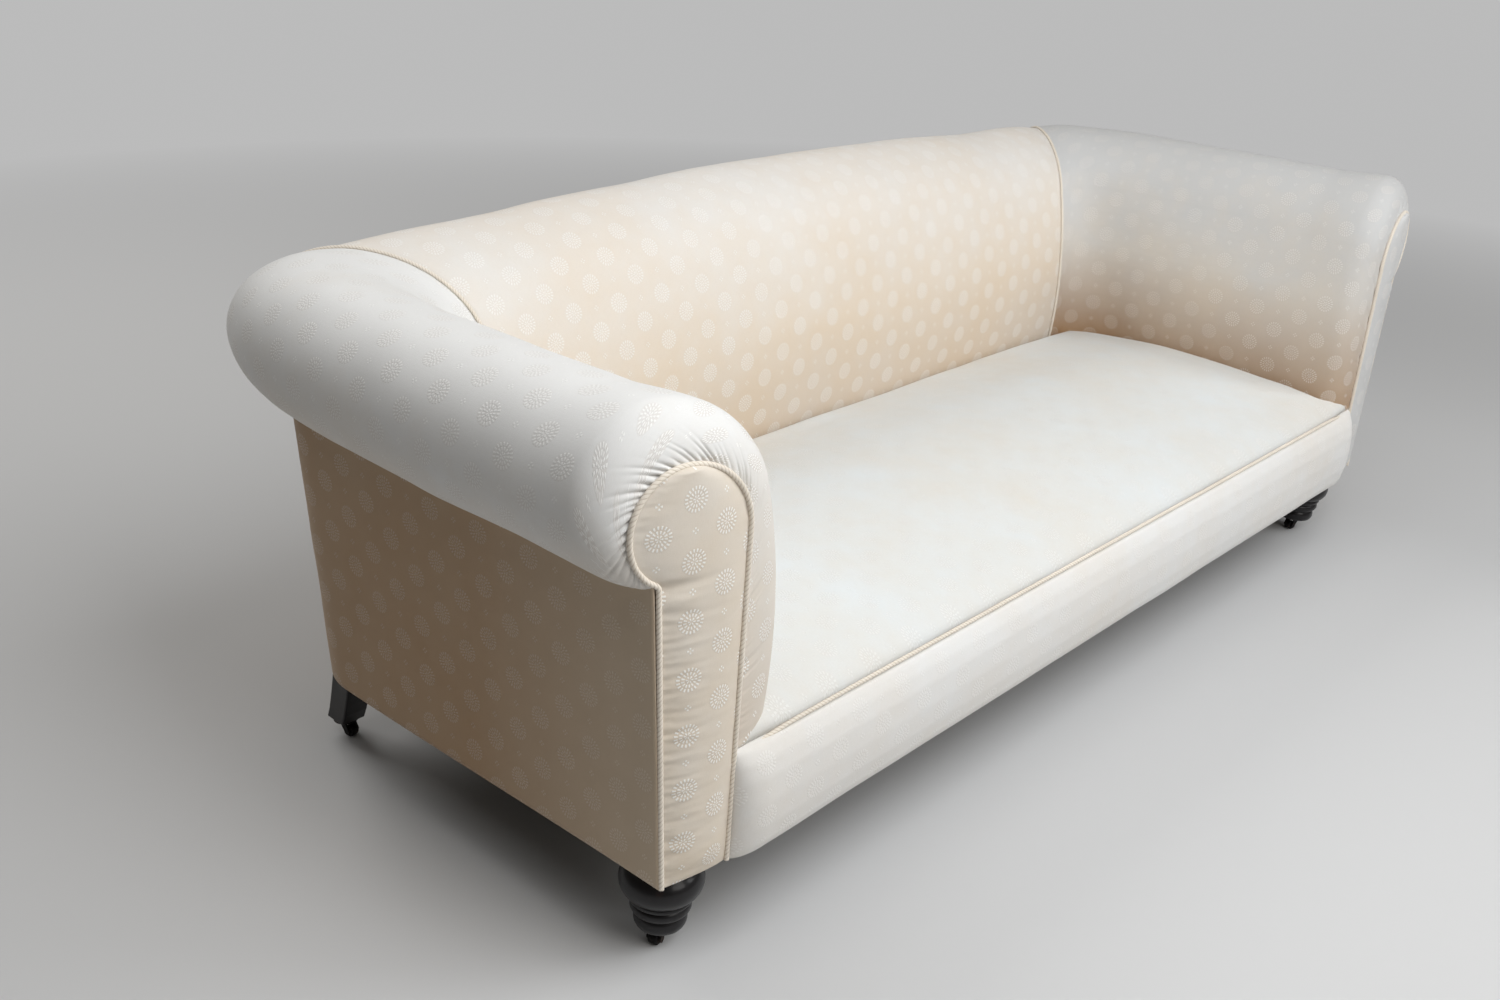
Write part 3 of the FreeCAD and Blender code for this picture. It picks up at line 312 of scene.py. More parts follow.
def damask(name, look, rear_soil_and_shade=0.0, rear=(-0.25, 0.12)):
    """Cream woven damask: medallions in satin with painted shade between their dashes, fine weave, uneven
    fading, a crown paled partly with painted light, and crevices darkened by soiling and painted shade.
    """
    paint = Paint(name, Specular_IOR_Level=0.30, Sheen_Weight=0.12, Sheen_Roughness=0.45)
    cloth = paint.cloth_place()
    place = paint.object_place()
    across = paint.axis(cloth, "X")
    up = paint.axis(cloth, "Y")
    depth = paint.axis(place, "Y")
    height = paint.axis(place, "Z")
    motif, inside = medallions(across, up)
    weft = paint.noise(paint.stretch(cloth, (160, 1400, 1)), 1.0, 3.0, 0.6)
    warp = paint.noise(paint.stretch(cloth, (1500, 120, 1)), 1.0, 3.0, 0.6)
    threads = (weft + warp) * 0.5
    patches = paint.noise(place, 3.2, 5.0, 0.62)
    blotches = paint.noise(place, 17.0, 4.0, 0.6)
    fading = look.paling + ((patches - 0.5) * 1.1 + (blotches - 0.5) * 0.4) * look.mottle
    near = 1 - depth.between(-0.375, -0.310)
    # The crown's extra paling at the top of the rolls is partly fading and partly painted light.
    fading = fading + height.between(0.46, 0.66) * look.crown - near * (1 - height.between(0.46, 0.60)) * 0.1
    fading = fading.between(0.0, 1.0)
    ground = paint.mix(fading, look.ground, look.pale)
    # Darker towards the brown low down and towards the rear: partly soiling, partly painted shade in the
    # crevices and on the outside covers.
    soil = (1 - height.between(0.28, look.soil_top)) * (look.soil + depth.between(*rear) * rear_soil_and_shade)
    soil = soil * (0.5 + patches * 1.0)
    ground = paint.mix(soil.between(0.0, 1.0), ground, tint("grime_and_shade"))
    strength = look.motif + near * look.front
    gaps = inside * (1 - motif) * strength
    # Painted shade: the ground inside each medallion, between its dashes, is darkened towards the brown
    # unless fill gives it the motif colour.
    medallion_shade = gaps * (0.14 * (1 - look.fill))
    ground_with_medallion_shade = paint.mix(medallion_shade, ground, tint("grime_and_shade"))
    woven = paint.mix((motif * strength + gaps * look.fill).between(0.0, 1.0), ground_with_medallion_shade, tint("motif"))
    tinted = paint.mix((threads - 0.42).between(0.0, 0.5) * 0.16, woven, (0.30, 0.24, 0.17))
    rough = 0.64 - motif * 0.14 + (threads - 0.5) * 0.2
    relief = paint.bump(motif * 1.1 + threads * 0.5, 0.42, 0.0007)
    return paint.to_shader(Base_Color=tinted, Roughness=rough, Normal=relief)


def twisted_cord():
    """Cotton cord, with painted shade in the lay between its strands."""
    paint = Paint("twisted_cord", Specular_IOR_Level=0.3, Sheen_Weight=0.2)
    lay = paint.cloth_place()
    depth = paint.axis(lay, "Y")
    place = paint.object_place()
    fibre = paint.noise(place, 900.0, 3.0, 0.6)
    wear = paint.noise(place, 12.0, 4.0, 0.6)
    plain = tint("cord")
    pale = tuple(min(1.0, part * 1.1 + 0.03) for part in plain)
    # Painted shade in the lay between the strands: dark is mixed in where the strands' swell is low.
    dark = (plain[0] * 0.58, plain[1] * 0.50, plain[2] * 0.41)
    ground = paint.mix(wear.between(0.3, 0.7), plain, pale)
    painted_shade = paint.mix((1 - depth.between(0.0, 0.6)) * 0.8, ground, dark)
    return paint.to_shader(Base_Color=painted_shade, Roughness=0.62 + fibre * 0.25,
                           Normal=paint.bump(fibre, 0.3, 0.0004))


def ebonised():
    """Black polished wood with brown showing where it has worn."""
    paint = Paint("ebonised_wood", Specular_IOR_Level=0.28, Coat_Roughness=0.14)
    place = paint.object_place()
    grain = paint.noise(paint.stretch(place, (260, 260, 22)), 1.0, 4.0, 0.6)
    wear = paint.noise(place, 38.0, 5.0, 0.65)
    dark = tint("ebony")
    worn = paint.mix(wear.between(0.62, 0.80) * 0.6, dark, (0.030, 0.014, 0.010))
    streaked = paint.mix(grain.between(0.55, 0.8) * 0.3, worn, (0.014, 0.010, 0.010))
    return paint.to_shader(Base_Color=streaked, Roughness=0.30 + wear * 0.16 + grain * 0.06,
                           Coat_Weight=0.45 - wear * 0.3, Normal=paint.bump(grain, 0.12, 0.0006))


def castor_iron():
    paint = Paint("castor_iron", Specular_IOR_Level=0.5)
    place = paint.object_place()
    pits = paint.noise(place, 420.0, 4.0, 0.65)
    rust = paint.noise(place, 90.0, 5.0, 0.7)
    rusted = paint.mix(rust.between(0.52, 0.72) * 0.7, tint("iron"), (0.10, 0.045, 0.022))
    return paint.to_shader(Base_Color=rusted, Metallic=0.75 - rust.between(0.5, 0.7) * 0.6,
                           Roughness=0.38 + rust * 0.35, Normal=paint.bump(pits, 0.25, 0.0005))


def plain_wood():
    paint = Paint("beech", Specular_IOR_Level=0.35)
    place = paint.object_place()
    grain = paint.noise(paint.stretch(place, (14, 140, 140)), 1.0, 4.0, 0.6)
    flecks = paint.noise(paint.stretch(place, (90, 600, 600)), 1.0, 2.0, 0.5)
    beech = paint.mix(grain.between(0.3, 0.7), (0.46, 0.29, 0.155), (0.60, 0.42, 0.25))
    fleck = paint.mix(flecks.between(0.58, 0.72) * 0.5, beech, (0.30, 0.17, 0.085))
    return paint.to_shader(Base_Color=fleck, Roughness=0.55 + grain * 0.2,
                           Normal=paint.bump(grain, 0.2, 0.0008))


def coarse_cloth(name, dark, pale, scale):
    """A plain open weave, for webbing, hessian and the cloth below the seat."""
    paint = Paint(name, Specular_IOR_Level=0.2, Sheen_Weight=0.15)
    place = paint.object_place()
    across = paint.axis(place, "X")
    along = paint.axis(place, "Y")
    up = paint.axis(place, "Z")
    turn = 2 * math.pi / scale
    weave = ((across * turn).cos() * ((along + up) * turn).cos()).between(-0.6, 0.6)
    slubs = paint.noise(place, 260.0, 3.0, 0.6)
    woven = paint.mix((weave * 0.6 + slubs * 0.5).between(0.1, 1.0), dark, pale)
    return paint.to_shader(Base_Color=woven, Roughness=0.8 + slubs * 0.15,
                           Normal=paint.bump(weave, 0.4, 0.0006))


def spring_steel():
    paint = Paint("spring_steel", Specular_IOR_Level=0.5, Metallic=1.0)
    place = paint.object_place()
    patina = paint.noise(place, 160.0, 4.0, 0.6)
    steel = paint.mix(patina.between(0.4, 0.65), (0.42, 0.36, 0.31), (0.20, 0.12, 0.07))
    return paint.to_shader(Base_Color=steel, Roughness=0.35 + patina * 0.3)


def pale_floor():
    """Plain pale floor, which far from the sofa shows an even tone to the camera."""
    paint = Paint("pale_floor", Specular_IOR_Level=0.2, Roughness=0.85, Base_Color=(*tint("floor"), 1))
    away = paint.node("ShaderNodeVectorMath", {"operation": "LENGTH"}, {0: paint.object_place()}, "Value")
    rays = ("Is Camera Ray", "Is Glossy Ray", "Is Transmission Ray")
    camera, glossy, through = [paint.node("ShaderNodeLightPath", {}, {}, ray) for ray in rays]
    shown = away.between(1.6, 4.2) * camera.larger(glossy).larger(through)
    glow = paint.node("ShaderNodeEmission", {}, {"Color": (0.50, 0.50, 0.50, 1)}, "Emission")
    own = Value(paint, paint.shader.outputs["BSDF"])
    mixed = paint.node("ShaderNodeMixShader", {}, {0: shown, 1: own, 2: glow}, "Shader")
    paint.feed(paint.tree.nodes["Material Output"].inputs["Surface"], mixed)
    return paint.material


# Sections of the arms and back: u is measured from the middle of the sofa, z above the base

Roll = namedtuple("Roll", "centre height radius shoulder belly foot")
SHOULDER_END = math.radians(160)
THROAT = math.radians(-100)


def mitre():
    s = sizes()
    return s.half_width - s.roll_inset - s.body_depth - s.back_setback


def full_roll():
    s = sizes()
    return Roll(s.half_width - s.roll_inset, s.roll_height, s.roll_radius, s.shoulder,
                s.half_width - s.belly_depth, s.half_width - s.pad_foot)


def facing_roll():
    """The roll as it starts at the facing's cord."""
    s = sizes()
    inner = s.half_width - s.facing_width
    return Roll(s.half_width - s.scroll_inset, s.scroll_height, s.scroll_radius, s.facing_shoulder,
                inner, inner)


def puffed_roll():
    """The roll at its fullest, just behind the facing."""
    s = sizes()
    return Roll(s.half_width - s.puff_inset, s.puff_height, s.puff_radius, s.puff_shoulder,
                s.half_width - s.puff_belly, s.half_width - s.puff_foot)


def blend(first, second, share):
    return Roll(*(a + (b - a) * share for a, b in zip(first, second)))


def drawn_roll(share):
    """The roll near a corner seam, drawn in towards it: 0 away from it, 1 at the seam."""
    full = full_roll()
    return full._replace(radius=full.radius - 0.0065 * share ** 4)


def seam_x(u):
    """The corner seam's distance from the middle of the sofa."""
    s = sizes()
    full = full_roll()
    low = full.belly - s.seam_low
    high = full.centre - s.seam_high
    past = max(u - full.centre, 0.0)
    return low + (u - full.belly) * (high - low) / (full.centre - full.belly) + past * 0.08


def plain_end():
    """Where an arm starts to turn into its rear corner."""
    return full_roll().belly - mitre() - sizes().corner_run


def plain_side():
    """Where the back starts to slant to its corner seam."""
    return seam_x(full_roll().belly) - sizes().corner_run


def facing_back(x):
    """How far behind its middle a facing stands, because its outer edge is turned back."""
    s = sizes()
    return s.facing_setback * (x - s.half_width + s.facing_width / 2) / s.facing_width


def circle_through(a, b, c):
    """Centre of the circle through three points of a section."""
    ax, ay = a
    bx, by = b[0] - ax, b[1] - ay
    cx, cy = c[0] - ax, c[1] - ay
    twice = 2 * (bx * cy - by * cx)
    x = (cy * (bx * bx + by * by) - by * (cx * cx + cy * cy)) / twice
    y = (bx * (cx * cx + cy * cy) - cx * (bx * bx + by * by)) / twice
    return ax + x, ay + y


def sweep_points(centre, radius, start, end, steps):
    turns = [start + (end - start) * step / steps for step in range(steps + 1)]
    return [(centre[0] + radius * math.cos(turn), centre[1] + radius * math.sin(turn)) for turn in turns]


def section(roll, throat):
    """The section's line, from the foot of the pad over the belly and round the roll to the throat."""
    s = sizes()
    shoulder_height = roll.height + roll.radius - roll.shoulder
    turn = (roll.centre + roll.shoulder * math.cos(SHOULDER_END),
            shoulder_height + roll.shoulder * math.sin(SHOULDER_END))
    foot = (roll.foot, s.pad_bottom)
    belly = (roll.belly, s.belly_height)
    chord = (turn[0] - foot[0]) * (belly[1] - foot[1]) - (turn[1] - foot[1]) * (belly[0] - foot[0])
    if abs(chord) < 1e-4:
        lower = [(foot[0] + (turn[0] - foot[0]) * k / 24, foot[1] + (turn[1] - foot[1]) * k / 24)
                 for k in range(25)]
    else:
        centre = circle_through(foot, belly, turn)
        radius = math.hypot(foot[0] - centre[0], foot[1] - centre[1])
        start = math.atan2(foot[1] - centre[1], foot[0] - centre[0])
        end = math.atan2(turn[1] - centre[1], turn[0] - centre[0])
        span = (end - start + math.pi) % (2 * math.pi) - math.pi
        lower = sweep_points(centre, radius, start, start + span, 24)
    upper = sweep_points((roll.centre, shoulder_height), roll.shoulder, SHOULDER_END, math.pi / 2, 24)
    rounded = sweep_points((roll.centre, roll.height), roll.radius, math.pi / 2, throat, 60)
    return lower + upper[1:] + rounded[1:]


class Line:
    """A line of points that can be asked for a place along it."""

    def __init__(self, points):
        self.points = points
        self.marks = [0.0]
        for a, b in zip(points, points[1:]):
            self.marks.append(self.marks[-1] + math.dist(a, b))
        self.length = self.marks[-1]

    def at(self, share):
        want = min(max(share, 0.0), 1.0) * self.length
        low, high = 0, len(self.marks) - 1
        while high - low > 1:
            middle = (low + high) // 2
            if self.marks[middle] <= want:
                low = middle
            else:
                high = middle
        step = (want - self.marks[low]) / (self.marks[high] - self.marks[low])
        return tuple(a + (b - a) * step for a, b in zip(self.points[low], self.points[high]))


def spot(x, y, z):
    """A point from the middle, behind the facing and above the base."""
    s = sizes()
    return Vector((x, s.face + y, s.base + z))


# Mesh helpers

def grid(across, along):
    """A flat sheet of faces, with its place across and along kept on each vertex as 0 to 1."""
    bm = bmesh.new()
    bmesh.ops.create_grid(bm, x_segments=across, y_segments=along, size=0.5)
    return bm, [(vert, vert.co.x + 0.5, vert.co.y + 0.5) for vert in bm.verts]


def write_cloth(bm, places):
    """Keep where each vertex lies on the flat cloth, in metres."""
    layer = bm.loops.layers.uv.new(CLOTH_MAP)
    for face in bm.faces:
        for loop in face.loops:
            loop[layer].uv = places[loop.vert]


def turn_faces(bm, outward):
    """Point the faces the way that outward says at one face."""
    bm.normal_update()
    bm.faces.ensure_lookup_table()
    face = bm.faces[len(bm.faces) // 2]
    if face.normal.dot(outward(face.calc_center_median())) < 0:
        bmesh.ops.reverse_faces(bm, faces=bm.faces[:])
    bm.normal_update()


def drape(across, along, place, outward):
    """A cover of faces: place gives each vertex its point and its spot on the flat cloth."""
    bm, verts = grid(across, along)
    cloth = {}
    for vert, a, t in verts:
        vert.co, cloth[vert] = place(a, t)
    write_cloth(bm, cloth)
    turn_faces(bm, lambda middle: Vector(outward))
    return bm


def push(bm, amounts):
    """Move vertices along their normals."""
    bm.normal_update()
    moves = [(vert, vert.normal * amount) for vert, amount in amounts.items()]
    for vert, move in moves:
        vert.co += move


def piece(name, bm, material, nodes, body="sofa"):
    """Make the finished mesh an object that rides on a body and stands for CAD nodes."""
    mesh = bpy.data.meshes.new(name)
    bm.to_mesh(mesh)
    bm.free()
    for polygon in mesh.polygons:
        polygon.use_smooth = True
    thing = bpy.data.objects.new(name, mesh)
    bpy.context.scene.collection.objects.link(thing)
    mesh.materials.append(material)
    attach(thing, body)
    if nodes:
        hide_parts(*nodes)
    return thing


SETTLING_FRAMES = 20


def settle(thing, pressure, cap, hold):
    """Let a cover swell over its stuffing, as cloth held at its edges and tucks, and keep that shape."""
    mesh = thing.data
    uses = {}
    for polygon in mesh.polygons:
        for key in polygon.edge_keys:
            uses[key] = uses.get(key, 0) + 1
    edge = sorted({index for key, count in uses.items() if count == 1 for index in key})
    held = thing.vertex_groups.new(name="held")
    start = [vert.co.copy() for vert in mesh.vertices]
    for index, place in enumerate(start):
        held.add([index], hold(place), "REPLACE")
    held.add(edge, 1.0, "REPLACE")
    cloth = thing.modifiers.new("settling", "CLOTH")
    cloth.settings.quality = 6
    cloth.settings.mass = 0.01
    cloth.settings.bending_stiffness = 0.3
    cloth.settings.vertex_group_mass = held.name
    cloth.settings.use_pressure = True
    cloth.settings.uniform_pressure_force = pressure
    cloth.settings.effector_weights.gravity = 0.0
    cloth.collision_settings.use_collision = False
    for number in range(1, SETTLING_FRAMES + 1):
        bpy.context.scene.frame_set(number)
    settled = thing.evaluated_get(bpy.context.evaluated_depsgraph_get()).data
    moves = [vert.co - before for vert, before in zip(settled.vertices, start)]
    thing.modifiers.remove(cloth)
    thing.vertex_groups.remove(held)
    bpy.context.scene.frame_set(1)
    for vert, before, move in zip(mesh.vertices, start, moves):
        vert.co = before + move * min(1.0, cap / max(move.length, 1e-6))


def thicken(thing, thickness):
    solid = thing.modifiers.new("thickness", "SOLIDIFY")
    solid.thickness = thickness
    solid.offset = -1
    return thing


def smooth_step(low, high, value):
    share = min(max((value - low) / (high - low), 0.0), 1.0)
    return share * share * (3 - 2 * share)


def wander(x, y, z, scale, seed):
    """Smooth noise about zero."""
    return noise.noise(Vector((x / scale + seed * 7.3, y / scale - seed * 3.1, z / scale + seed * 5.7)))


# Arms and back

SCROLL_THROAT = math.radians(-64)
ARM_FRONT = -0.0012
SWELL_ROWS = 44
RELAX_ROWS = 26
PLAIN_ROWS = 30
CORNER_ROWS = 36
GATHER_COUNT = 64
GATHER_DEPTH = 0.0062
PULL_DEPTH = 0.0040


def arm_stations():
    """Rows of an arm from its facing to the corner seam: depth, share of the corner turned, section."""
    s = sizes()
    start, puffed, full = facing_roll(), puffed_roll(), full_roll()
    rows = []
    for k in range(SWELL_ROWS):
        turn = math.pi / 2 * k / SWELL_ROWS
        swell = math.sin(turn)
        y = ARM_FRONT + (s.puff - ARM_FRONT) * (1 - math.cos(turn))
        throat = SCROLL_THROAT + (THROAT - SCROLL_THROAT) * swell
        rows.append((y, 0.0, section(blend(start, puffed, swell), throat)))
    for k in range(RELAX_ROWS):
        share = k / RELAX_ROWS
        y = s.puff + (s.puff_relax - s.puff) * share
        rows.append((y, 0.0, section(blend(puffed, full, smooth_step(0, 1, share)), THROAT)))
    end = plain_end()
    for k in range(PLAIN_ROWS):
        rows.append((s.puff_relax + (end - s.puff_relax) * k / PLAIN_ROWS, 0.0, section(full, THROAT)))
    for k in range(CORNER_ROWS + 1):
        share = k / CORNER_ROWS
        rows.append((end, share, section(drawn_roll(share), THROAT)))
    return [(y, share, Line(points)) for y, share, points in rows]


def arm_spot(side, y, share, u, z):
    """Where a point of an arm's section lies: turned with the facing in front, swept round at the corner."""
    s = sizes()
    turned = 1 - smooth_step(ARM_FRONT, s.puff_relax, y)
    x = u + share * share * (seam_x(u) - u)
    back = y + turned * facing_back(u)
    if share > 0:
        back = u - mitre() - (1 - share) ** 2 * (u - mitre() - y)
    return spot(side * x, back, z)


def gathers(share, reach):
    """Depth of the gathers that draw an arm's cover in round its facing, at one reach from the cord."""
    fold = share * GATHER_COUNT + wander(share * 30, reach * 14, 0.0, 1.0, 3) * 0.7
    valley = 1 - abs(math.sin(math.pi * fold)) ** 0.65
    number = math.floor(fold + 0.5)
    lively = 0.35 + 0.65 * abs(math.sin(number * 12.9898))
    length = 0.009 + 0.017 * abs(math.sin(number * 7.233 + 1.0))
    fade = smooth_step(0.0, 0.002, reach) * math.exp(-(reach / length) ** 1.5)
    round_roll = smooth_step(0.42, 0.54, share) * (1 - smooth_step(0.990, 1.0, share))
    deep = -GATHER_DEPTH * valley * lively * fade * (0.22 + 0.78 * round_roll)
    pull = max(wander(share * 60, reach * 4, 0.0, 1.0, 6), 0.0)
    tug = PULL_DEPTH * pull * math.exp(-reach / 0.034) * smooth_step(0.0, 0.004, reach)
    return deep - tug * (1 - round_roll)


def arm_mesh(side, detail):
    """One arm's cover, from the facing's cord to the corner seam."""
    s = sizes()
    full = full_roll()
    stations = arm_stations()
    columns = detail.arm_across
    places = []
    for y, share, line in stations:
        points = [line.at(k / columns) for k in range(columns + 1)]
        places.append([arm_spot(side, y, share, u, z) for u, z in points])
    along = [[s.puff] * (columns + 1) for _ in stations]
    for row in range(SWELL_ROWS - 1, -1, -1):
        for k in range(columns + 1):
            along[row][k] = along[row + 1][k] - (places[row + 1][k] - places[row][k]).length
    for row in range(SWELL_ROWS + 1, len(stations)):
        for k in range(columns + 1):
            along[row][k] = along[row - 1][k] + (places[row][k] - places[row - 1][k]).length
    bm, verts = grid(columns, len(stations) - 1)
    cloth = {}
    amounts = {}
    for vert, across, depth in verts:
        row = round(depth * (len(stations) - 1))
        k = round(across * columns)
        share, line = stations[row][1:]
        vert.co = places[row][k]
        x, y, z = vert.co
        cloth[vert] = (along[row][k], across * line.length)
        lump = wander(x, y, z, 0.16, 11) * 0.0024 + wander(x, y, z, 0.06, 12) * 0.0009
        lump *= smooth_step(s.puff * 0.3, s.puff_relax, along[row][k]) * (1 - smooth_step(0.8, 1.0, share))
        amounts[vert] = lump + gathers(across, along[row][k] - along[0][k])
    write_cloth(bm, cloth)
    turn_faces(bm, lambda middle: middle - spot(side * full.centre, middle.y - s.face, full.height))
    push(bm, amounts)
    return bm


def back_stations(count):
    """Rows of the back from one corner seam to the other: plain place, share of the slant, section."""
    s = sizes()
    full = full_roll()
    turn_share = 0.16
    rows = []
    for k in range(count + 1):
        t = 2 * k / count - 1
        reach = abs(t)
        if reach > 1 - turn_share:
            share = (reach - 1 + turn_share) / turn_share
            rise = s.back_crown * 0.25 * (1 - share)
            roll = drawn_roll(share)._replace(height=full.height + rise)
            rows.append((math.copysign(plain_side(), t), share, Line(section(roll, THROAT))))
        else:
            inner = reach / (1 - turn_share)
            rise = s.back_crown * (1 - inner * inner * 0.75)
            roll = full._replace(height=full.height + rise)
            rows.append((math.copysign(plain_side() * inner, t), 0.0, Line(section(roll, THROAT))))
    return rows


def back_mesh(detail):
    """The back's cover, from one corner seam to the other."""
    count = detail.back_along
    full = full_roll()
    stations = back_stations(count)
    bm, verts = grid(detail.back_across, count)
    cloth = {}
    amounts = {}
    for vert, across, along in verts:
        x, share, line = stations[round(along * count)]
        u, z = line.at(across)
        out = x + share * (math.copysign(seam_x(u), x) - x)
        vert.co = spot(out, u - mitre(), z)
        cloth[vert] = (out, across * line.length)
        amounts[vert] = wander(out, u, z, 0.22, 21) * 0.0034 + wander(out, u, z, 0.07, 22) * 0.0009
        amounts[vert] *= 1 - smooth_step(0.8, 1.0, share)
    write_cloth(bm, cloth)
    turn_faces(bm, lambda middle: middle - spot(middle.x, full.centre - mitre(), full.height))
    push(bm, amounts)
    return bm


# Facings

FACING_FRONT = -0.0012
FACING_SWELL = 0.0115
THROAT_HEIGHT = 0.369


def facing_edges():
    """Outer and inner edge of the facing, each from foot to top, along the cord's middle."""
    s = sizes()
    centre = s.half_width - s.scroll_inset
    lean = s.lean / s.scroll_height
    slope = math.hypot(1, lean)
    foot = s.half_width - 0.0035
    fillet = s.throat_fillet
    edge = foot + fillet * slope - centre
    first = 1 + lean * lean
    second = 2 * (lean * edge - s.scroll_height)
    third = edge ** 2 + s.scroll_height ** 2 - (s.scroll_radius + fillet) ** 2
    throat_z = (-second - math.sqrt(second ** 2 - 4 * first * third)) / (2 * first)
    throat_x = foot + lean * throat_z + fillet * slope
    down = math.atan2(throat_z - s.scroll_height, throat_x - centre)
    leave = math.pi - math.atan(lean)
    outer = [(foot, 0.0)]
    outer += sweep_points((throat_x, throat_z), fillet, leave, down + math.pi, 8)
    outer += sweep_points((centre, s.scroll_height), s.scroll_radius, down, math.pi / 2, 40)[1:]
    shoulder_z = s.scroll_height + s.scroll_radius - s.facing_shoulder
    inner_foot = s.half_width - s.facing_width
    away = math.hypot(centre - inner_foot, shoulder_z)
    turn = math.pi + math.atan2(shoulder_z, centre - inner_foot) - math.acos(s.facing_shoulder / away)
    inner = [(inner_foot, 0.0)]
    inner += sweep_points((centre, shoulder_z), s.facing_shoulder, turn, math.pi / 2, 32)
    return outer, inner


def facing_mesh(side):
    """A padded facing, pulled at its corded edges and turned under at its foot."""
    outer, inner = (Line(points) for points in facing_edges())
    along, hem = 300, 4
    half_width = sizes().half_width

    def place(s, part):
        row = round(part * (along + hem)) - hem
        t = max(row, 0) / along
        ox, oz = outer.at(t)
        ix, iz = inner.at(t)
        x = ox + (ix - ox) * s
        z = oz + (iz - oz) * s
        width = math.dist((ox, oz), (ix, iz))
        edge = min(s, 1 - s) * width
        head = max(width, 0.02) * 0.5
        rise = FACING_SWELL * (1 - (1 - min(edge / head, 1.0)) ** 2.4) * smooth_step(0.0, 0.05, width)
        rise *= smooth_step(-0.02, 0.035, z)
        crease = facing_creases(x, z, s * width, (1 - s) * width)
        under = max(-row, 0) / hem
        y = FACING_FRONT - rise * (1 - under) - crease * (1 - under) + 0.012 * under
        return spot(side * x, y + facing_back(x), z), (half_width - x - 0.0035 + 0.01 * z, z - 0.0235)

    bm = drape(72, along + hem, place, (0, -1, 0))
    bmesh.ops.remove_doubles(bm, verts=bm.verts[:], dist=0.00002)
    return bm


def facing_creases(x, z, from_outer, from_inner):
    """Relief of the pulls that run in from a facing's edges, and the tuck at the throat."""
    above = z - THROAT_HEIGHT
    shaft = 1 - smooth_step(-0.01, 0.02, above)
    broad = wander(x * 0.22, 0.0, z, 0.0080, 31)
    fine = wander(x * 0.5, 0.0, z, 0.0042, 32)
    pull = 0.0024 * broad * math.exp(-from_outer / 0.034) * (0.35 + 0.65 * shaft)
    pull += 0.0008 * fine * math.exp(-from_outer / 0.012)
    pull += 0.0007 * wander(x * 0.4, 0.0, z, 0.0065, 33) * math.exp(-from_inner / 0.016)
    pull *= smooth_step(0.0, 0.003, min(from_outer, from_inner))
    tuck = -0.0042 * math.exp(-((above - from_outer * 0.06) / 0.0065) ** 2) * math.exp(-from_outer / 0.030)
    roll = 0.0022 * math.exp(-((above + 0.016) / 0.010) ** 2) * math.exp(-from_outer / 0.040)
    return pull + tuck + roll


# Seat and border

SEAT_FRONT = -0.0085
SEAT_NOSE = 0.0085
SEAT_CORNER = 0.065
SEAT_INTO_ARMS = 0.016
SEAT_INTO_BACK = 0.014
TUCK_RUN = 0.030
TUCK_DEPTH = 0.034
SEAT_PRESSURE = 4.0
SEAT_SWELL = 0.024


def seat_half(y):
    """Half the seat's width at one depth: out to the facings in front, rounded at the rear corners."""
    s = sizes()
    ahead = min(max((s.puff - y) / (s.puff - ARM_FRONT), 0.0), 1.0)
    swell = math.sqrt(1 - ahead * ahead)
    plain, puffed = facing_roll().foot, puffed_roll().foot
    front = plain + (puffed - plain) * swell - 0.003 + 0.010 * smooth_step(0.0, 0.05, y)
    rear = s.half_width - s.belly_depth + SEAT_INTO_ARMS
    wide = front + (rear - front) * smooth_step(0.02, s.puff_relax, y)
    past = y - (seat_rear() - SEAT_CORNER)
    if past > 0:
        wide -= SEAT_CORNER - math.sqrt(max(SEAT_CORNER * SEAT_CORNER - past * past, 0.0))
    return wide


def seat_rear():
    s = sizes()
    return s.half_width - s.belly_depth - mitre() + SEAT_INTO_BACK


def seat_top(x, y):
    """Height of the seat above its front edge."""
    s = sizes()
    share = 1 - (x / s.half_width) ** 2 * 0.55
    rise = s.seat_rise * (0.75 + 0.25 * share)
    crown = (s.seat_crown - s.seat_rise) * share
    run = 0.060
    past = min(max((y - SEAT_FRONT) / run, 0.0), 1.0)
    lift = rise * math.sqrt(max(1 - (1 - past) ** 2.3, 0.0))
    middle = (y - SEAT_FRONT) / (seat_rear() - SEAT_FRONT)
    return lift + crown * (1 - (2 * middle - 1) ** 2) * smooth_step(0.0, 0.2, middle)


def seat_mesh():
    """The sprung seat: crowned, rounded over at the front and tucked in round its other sides."""
    s = sizes()
    rear = seat_rear()

    def place(a, t):
        y = SEAT_FRONT + (rear - SEAT_FRONT) * t ** 1.25
        wide = seat_half(y)
        x = (2 * a - 1) * wide
        edge = min(wide - abs(x), rear - y)
        drop = TUCK_DEPTH * (1 - math.sqrt(max(1 - (1 - min(edge / TUCK_RUN, 1.0)) ** 2, 0.0)))
        z = s.seat_edge + seat_top(x, y) - drop * smooth_step(-0.01, 0.03, y)
        z += wander(x, y, 0.0, 0.21, 41) * 0.0045 + wander(x, y, 0.0, 0.08, 42) * 0.0012
        z = max(z, s.seat_edge + 0.0005)
        nose = min(max((z - s.seat_edge) / s.seat_rise, 0.0), 1.0)
        bulge = SEAT_NOSE * math.sin(math.pi * nose ** 0.8) * (1 - smooth_step(0.0, 0.05, y))
        return spot(x, y - bulge * smooth_step(0.0, 0.10, wide - abs(x)), z), (x, y * 1.06)

    return drape(220, 110, place, (0, 0, 1))


def seat_hold(place):
    """How firmly a point of the seat's cover is held: along its front roll and its tucks."""
    y = place.y - sizes().face
    edge = min(seat_half(y) - abs(place.x), seat_rear() - y, y + 0.010)
    return 1 - smooth_step(TUCK_RUN, 0.085, edge)


